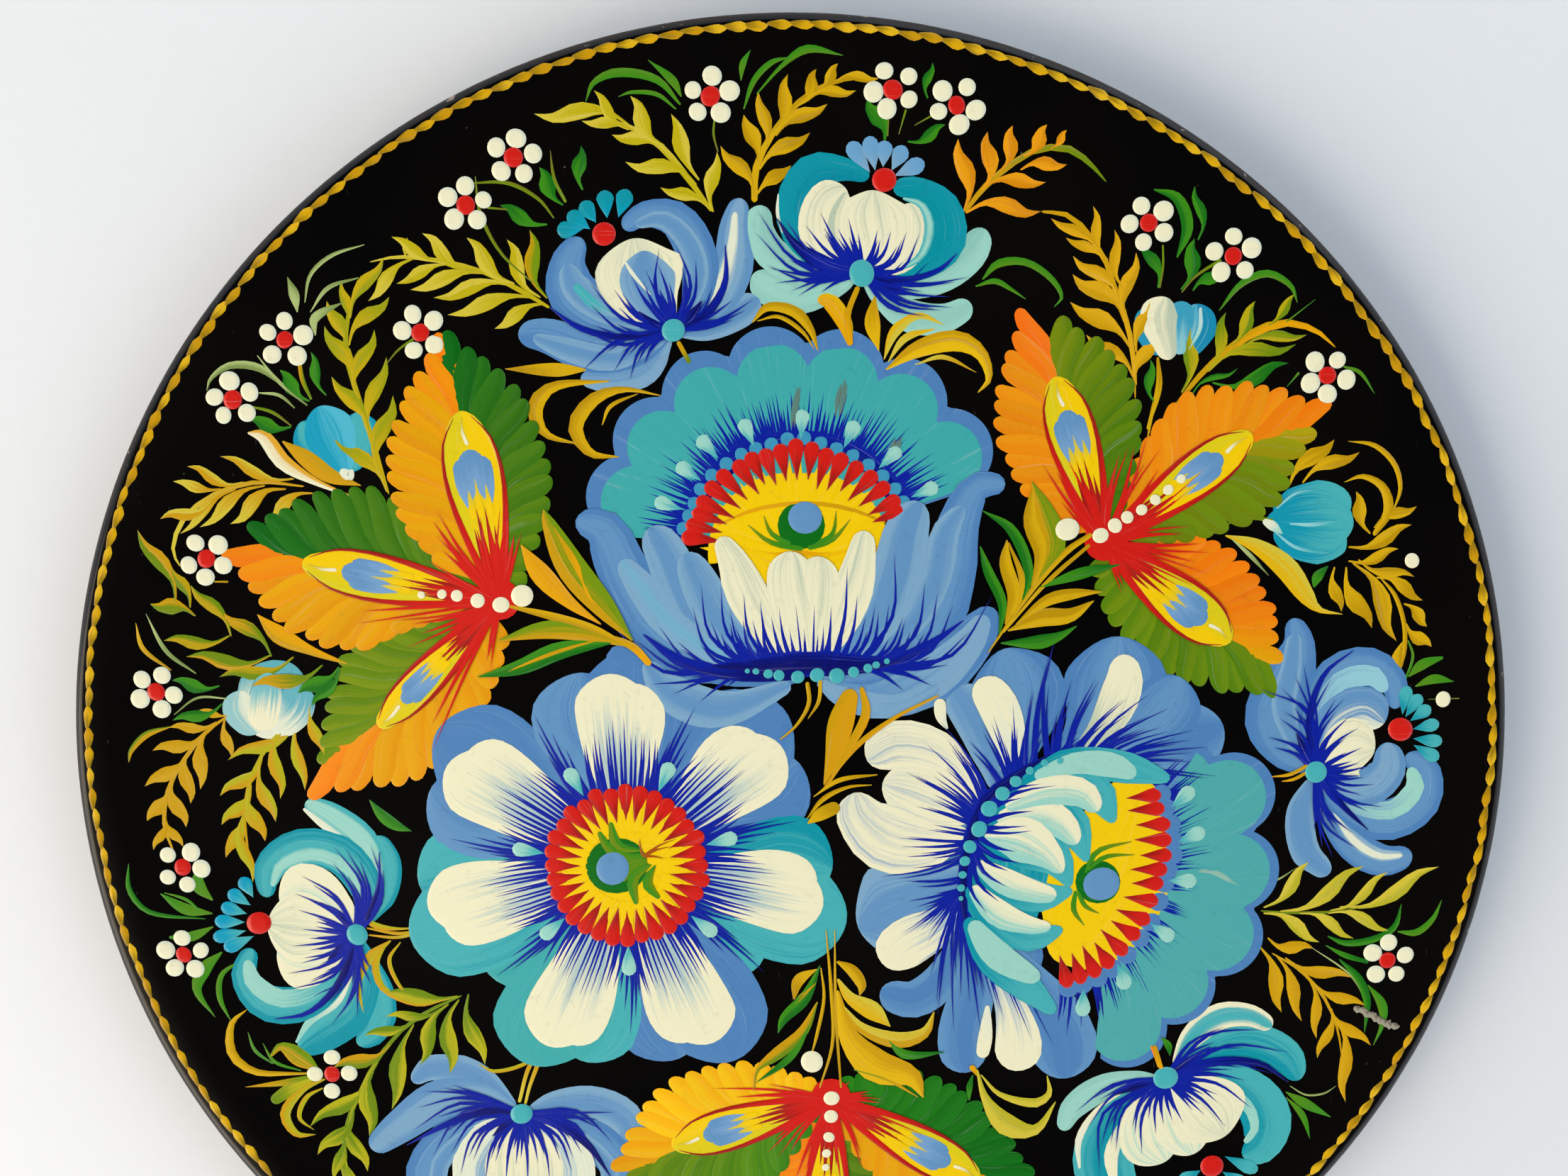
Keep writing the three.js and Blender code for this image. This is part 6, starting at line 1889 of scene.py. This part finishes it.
        (goldPair, [(48, 26, 0.3), (58, 41, 1.2), (66, 50.4, 1.6), (72.4, 55, 1.1)]),
        (goldPair, [(51.6, 31, 0.4), (62, 43.4, 1), (72, 52.4, 0.9)]),
        (goldPair, [(54.6, 33, 0.3), (62, 38.8, 2.8), (68, 40.4, 2.6), (75.4, 41, 0.2)]),
        (goldPair, [(52.6, 31.4, 0.3), (61, 34.6, 4.2), (67.6, 35.2, 3.6), (73.4, 38.8, 0.2)]),
        (greenPair, [(51, 28.4, 0.3), (60, 28.6, 3.4), (65, 30, 2.2), (69.4, 32.6, 0.2)]),
        (greenPair, [(60, 42, 0.3), (70, 45.4, 2.8), (79.4, 47.6, 0.2)]),
    ], 13)
    mid.done()


def paintSpraysRight():
    work = Brushwork("spraysRight", 87)
    for bx, by, tx, ty, width in ((119.4, 66.4, 129.8, 77.6, 4.6), (122.6, 67.2, 136, 74.6, 3.8),
        (139.6, 55, 135.6, 65.2, 3.8), (140.4, 56.4, 150.4, 61.6, 3.2),
                                  (134.4, 51.8, 149.4, 57.2, 4), (134.6, 48.4, 146.6, 51.4, 3.2),
                                  (137, 48.8, 150.8, 44.6, 3), (131.4, 47, 133.6, 36, 3.4),
                                  (134.2, 47, 141.2, 32, 4.8), (135.6, 48, 147.4, 28.8, 4.8),
                                  (141.6, 44.4, 153.2, 38.8, 3.6), (148.6, 38, 154.6, 32.4, 3.6),
                                  (149.4, 33.2, 156, 27.4, 3.8), (149.8, 29.4, 147.6, 20.4, 3.4)):
        leaf(work, bx, by, tx, ty, width, work.random.choice((-0.1, 0.1)), goldPair, 2)
    strokes(work, [
        (goldPair, [(133, 77.2, 0.1), (139.4, 76.2, 1.1), (144.4, 71.8, 1.3), (146.2, 66, 1),
        (145, 61, 0.3)]),
        (goldPair, [(132.6, 67.4, 0.1), (137, 68.8, 1.2), (142, 66.2, 1.9), (143.6, 60.6, 2.4),
        (140.4, 54.6, 1)]),
        (goldPair, [(142.6, 44.4, 0.3), (146.4, 40, 1), (149, 33, 1.1), (149.4, 26, 1), (148, 20, 0.3)]),
        ((brightGold, straw), [(104.6, 54.6, 0.3), (112, 52.2, 3.4), (119.6, 46.8, 5.4), (124.8, 40, 4.2),
        (128, 36.6, 1.6), (134, 35.4, 0.1)]),
        (palePair, [(106, 54, 0.2), (110.6, 50, 1), (115.6, 44.8, 0.1)]),
        (stemPair, [(116, 58.4, 0.9), (109, 58.6, 0.7), (101.6, 56, 0.2)]),
        (bladePair, [(150.2, 29, 0.3), (151.6, 25, 0.7), (150, 19, 0.4)]),
        (bladePair, [(150.8, 20, 0.3), (154, 23, 2.6), (159, 24.8, 0.6)]),
        (bladePair, [(152.6, 17.6, 0.3), (157, 19.4, 2.4), (162, 18.8, 0.1)]),
        (greenPair, [(126.6, 42, 0.4), (127.4, 44.6, 2.6), (129.8, 47.2, 0.2)]),
        (stemPair, [(156, 14.4, 0.1), (163.6, 14.6, 0.3)]),
    ])
    for k, (bx, by, tx, ty, width) in enumerate((
            (118, -38.6, 128.8, -26.8, 3.8), (122, -39.6, 142.6, -27.8, 4.2),
            (134.6, -39.4, 148.6, -29.4, 3), (137, -38.4, 161.2, -28, 4.2), (118, -40, 132.4, -47.6, 3.8),
            (126.6, -40, 141, -46.6, 3.2), (134, -40, 150, -44.6, 3.2))):
        leaf(work, bx, by, tx, ty, width, 0.1 if ty < by else -0.1, strawPair, 2)
    spray(work, [(120.6, -50.4, 0.3), (128, -55, 0.7), (134, -61.6, 0.8), (138, -70, 0.6), (140, -80, 0.2)],
          [(117.6, -48.8, 123.8, -66, 4.4), (119.4, -46.4, 131, -49.2, 3.8),
          (121.6, -50.8, 129, -68.4, 3.8), (124, -51.6, 141, -56.8, 3.8), (130.2, -57, 133, -73, 3.2),
           (131.6, -58.4, 144.8, -64.2, 3.4), (136.4, -65, 133.4, -78.2, 3.2),
           (135.8, -64.6, 146.8, -74.8, 3.4), (137, -67, 141.2, -90, 3.8)], (tint(216, 166, 14), gold))
    strokes(work, [
        (stemPair, [(117.4, -39.4, 0.3), (126, -39.9, 0.7), (136, -39.6, 0.6), (141, -38.8, 0.2)]),
        (greenPair, [(134.4, -46, 0.3), (139, -47.8, 1.5), (146, -46.8, 1.8), (151, -43.6, 1.5),
        (152.4, -37.6, 0.1)]), (greenPair, [(134, -48.4, 0.2), (139, -51, 1.3), (145, -52.8, 1)]),
        (greenPair, [(137.6, -52, 0.3), (142.6, -57, 2), (145.2, -63, 1.9), (145, -71.4, 0.1)]),
        (bladePair, [(145.2, -58.8, 0.3), (149, -64, 2.4), (149.4, -69, 1.4), (147.4, -74.8, 0.1)]),
        (bladePair, [(151.8, -44.8, 0.3), (156.6, -45, 1.8), (160.4, -41.6, 1.3), (162.4, -36.6, 0.1)]),
        (palePair, [(130, -48.6, 0.1), (140, -55.6, 0.5), (144, -61, 0.1)]),
        (bladePair, [(125.8, -87.2, 0.2), (131, -90.4, 2.6), (137.6, -94, 0.2)]),
        (bladePair, [(126, -88.6, 0.2), (130.4, -93.6, 1.7), (132.6, -99.8, 0.1)]),
        (palePair, [(126.8, -85.6, 0.2), (131, -88, 0.5), (135.6, -87.6, 0.5), (138.6, -85.6, 0.1)]),
        (palePair, [(118, -31.6, 0.1), (121, -31.4, 0.5), (125.6, -28.4, 0.1)]),
    ])
    # a scuff where the paint has come off
    for k in range(9):
        x, y = 142 + k * 1.2, -64.6 - k * 0.56
        work.dab([(x, y + 0.3, 0.8), (x + 0.9, y - work.random.uniform(0, 1), 2),
            (x + 2.2, y - work.random.uniform(-0.2, 1.4), 0.2)],
                 (tint(166, 158, 138), tint(112, 104, 88)), "left", 8, 6, 3, rise=0.03)
    work.done()


def paintSpraysRim():
    # small sprigs and berries along the lower rim
    work = Brushwork("spraysRim", 86)
    sprigs = [
        ([(-82, -127, 0.6), (-92, -129, 1), (-104, -124, 0.8), (-113, -114, 0.2)], goldPair),
        ([(-55, -127, 0.6), (-49, -137, 1), (-51, -148, 0.8), (-59, -156, 0.2)], olivePair),
        ([(-28, -122, 0.6), (-25, -133, 1), (-28, -146, 0.8), (-36, -157, 0.2)], lemonPair),
        ([(33, -131, 0.6), (38, -141, 1), (46, -148, 0.8), (58, -152, 0.2)], goldPair),
        ([(68, -119, 0.6), (74, -128, 1), (83, -135, 0.8), (95, -138, 0.2)], lemonPair),
        ([(0, -147, 0.6), (-4, -153, 0.8), (-11, -158, 0.6), (-20, -160, 0.2)], olivePair),
        ([(11, -148, 0.6), (15, -154, 0.8), (22, -158, 0.6), (31, -159, 0.2)], greenPair),
    ]
    for stem, colours in sprigs:
        at, length = smoothPath(stem)
        count = max(3, round(length / 5))
        rows = []
        for n in range(count):
            t = (n + 0.7) / (count + 0.4)
            x, y = at(t)[:2]
            ahead = at(min(1, t + 0.03))
            along = math.atan2(ahead[1] - y, ahead[0] - x)
            for side in (-0.62, 0.62):
                far = 9.5 * (1 - t * 0.45) * work.random.uniform(0.9, 1.1)
                turn = along + side
                rows.append((x, y, x + far * math.cos(turn), y + far * math.sin(turn), 3.6 * (1 - t * 0.3)))
        spray(work, stem, rows, colours, 1, stemPair)
    for x, y, turn in ((-86, -139, 20), (-70, -146, 50), (-42, -144, 5), (66, -143, 35), (104, -127, 60),
        (0, -164.6, 15)):
        reach = 4.4
        for k in range(5):
            angle = math.radians(turn + 72 * k)
            work.dot(x + reach * math.cos(angle), y + reach * math.sin(angle),
                work.random.uniform(1.95, 2.3), creamPair, 3,
                     blend="rim")
        work.dot(x, y, 2.15, redPair, 4)
    strokes(work, [
        (bladePair, [(-92, -128, 0.3), (-98, -130, 1.4), (-104, -127, 1.2), (-109, -121, 0.1)]),
        (bladePair, [(44, -132, 0.3), (52, -136, 1.6), (60, -134, 1.2), (66, -129, 0.1)]),
        (palePair, [(86, -122, 0.3), (94, -128, 1.2), (101, -130, 0.9), (107, -128, 0.1)]),
        (palePair, [(-40, -126, 0.3), (-43, -133, 1.1), (-41, -139, 0.2)]),
    ])
    work.done()


def brassFinish():
    # folded strip brass, dull with brown tarnish where fingers and screws have left it
    f = Finish("agedBrass")
    place = f.add("ShaderNodeTexCoord", out=3)
    cloud = f.noise(place, 210, 4, 0.6)
    drawn = f.noise(f.scaled(place, (900, 60, 200)), 4, 4, 0.6)
    spots = f.noise(place, 620, 3, 0.65).over(0.6, 0.68)
    base = f.mix(cloud.over(0.42, 0.68), (0.55, 0.36, 0.12), (0.3, 0.17, 0.06))
    base = f.mix(spots * 0.6, base, (0.1, 0.055, 0.025))
    rough = 0.26 + cloud * 0.22 + (drawn - 0.5) * 0.16 + spots * 0.2
    return f.close(base_color=base, metallic=1 - spots * 0.5, roughness=rough,
        normal=f.bump(drawn * 0.5 + cloud * 0.4, 0.00003))


def steelFinish():
    # plated steel with a few brown rust freckles
    f = Finish("platedSteel")
    place = f.add("ShaderNodeTexCoord", out=3)
    cloud = f.noise(place, 260, 4, 0.6)
    drawn = f.noise(f.scaled(place, (500, 500, 70)), 3, 4, 0.6)
    rust = f.noise(place, 480, 4, 0.7).over(0.62, 0.72)
    base = f.mix(cloud.over(0.4, 0.7), (0.56, 0.57, 0.58), (0.4, 0.41, 0.42))
    base = f.mix(rust * 0.7, base, (0.16, 0.07, 0.03))
    rough = 0.24 + (drawn - 0.5) * 0.2 + cloud * 0.12 + rust * 0.4
    return f.close(base_color=base, metallic=1 - rust * 0.8, roughness=rough,
        normal=f.bump(drawn * 0.4 + rust * 0.6, 0.00002))


def dressHanger():
    brass, steel = brassFinish(), steelFinish()
    for node, finish in (("hanger_strap", brass), ("hanger_ring", steel), ("hanger_screw_upper", steel),
                         ("hanger_screw_lower", steel)):
        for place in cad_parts[node].material_slots:
            place.material = finish


def addFloor():
    bm = bmesh.new()
    bmesh.ops.create_grid(bm, x_segments=8, y_segments=8, size=3)
    mesh = bpy.data.meshes.new("floor")
    bm.to_mesh(mesh)
    bm.free()
    f = Finish("paleTable")
    place = f.add("ShaderNodeTexCoord", out=3)
    fibre = f.noise(place, 240, 4, 0.6)
    base = f.mix(fibre, view["floorColour"], tuple(part * 0.97 for part in view["floorColour"]))
    mesh.materials.append(f.close(base_color=base, roughness=0.75 + (fibre - 0.5) * 0.1,
        normal=f.bump(fibre, 0.00003)))
    floor = bpy.data.objects.new("floor", mesh)
    bpy.context.scene.collection.objects.link(floor)


def addWorld():
    # the room is dark overhead and pale round the horizon
    world = bpy.data.worlds.new("room")
    bpy.context.scene.world = world
    world.use_nodes = True
    tree = world.node_tree
    background = tree.nodes["Background"]
    place = tree.nodes.new("ShaderNodeTexCoord")
    split = tree.nodes.new("ShaderNodeSeparateXYZ")
    ramp = tree.nodes.new("ShaderNodeValToRGB")
    tree.links.new(place.outputs["Generated"], split.inputs[0])
    tree.links.new(split.outputs["Z"], ramp.inputs[0])
    tree.links.new(ramp.outputs[0], background.inputs["Color"])
    ramp.color_ramp.elements[0].position = 0.62
    ramp.color_ramp.elements[0].color = (0.72, 0.8, 0.9, 1)
    ramp.color_ramp.elements[1].position = 0.82
    ramp.color_ramp.elements[1].color = (0.012, 0.014, 0.018, 1)
    background.inputs["Strength"].default_value = 1.45


bpy.context.scene.view_settings.view_transform = "Standard"
addCamera()
addLamps()
addWorld()
addFloor()
print("camera, lamps and table are set")
turnBoard()
print("board is turned")
paintBeads()
paintBerries()
paintCrownBlossom()
paintWheelBlossom()
paintShellBlossom()
paintSmallBlossoms()
paintBuds()
paintFeathers()
paintSpraysTop()
paintSpraysLeft()
paintSpraysLow()
paintSpraysRight()
paintSpraysRim()
print("painting is laid")
dressHanger()
print("hanger is dressed")
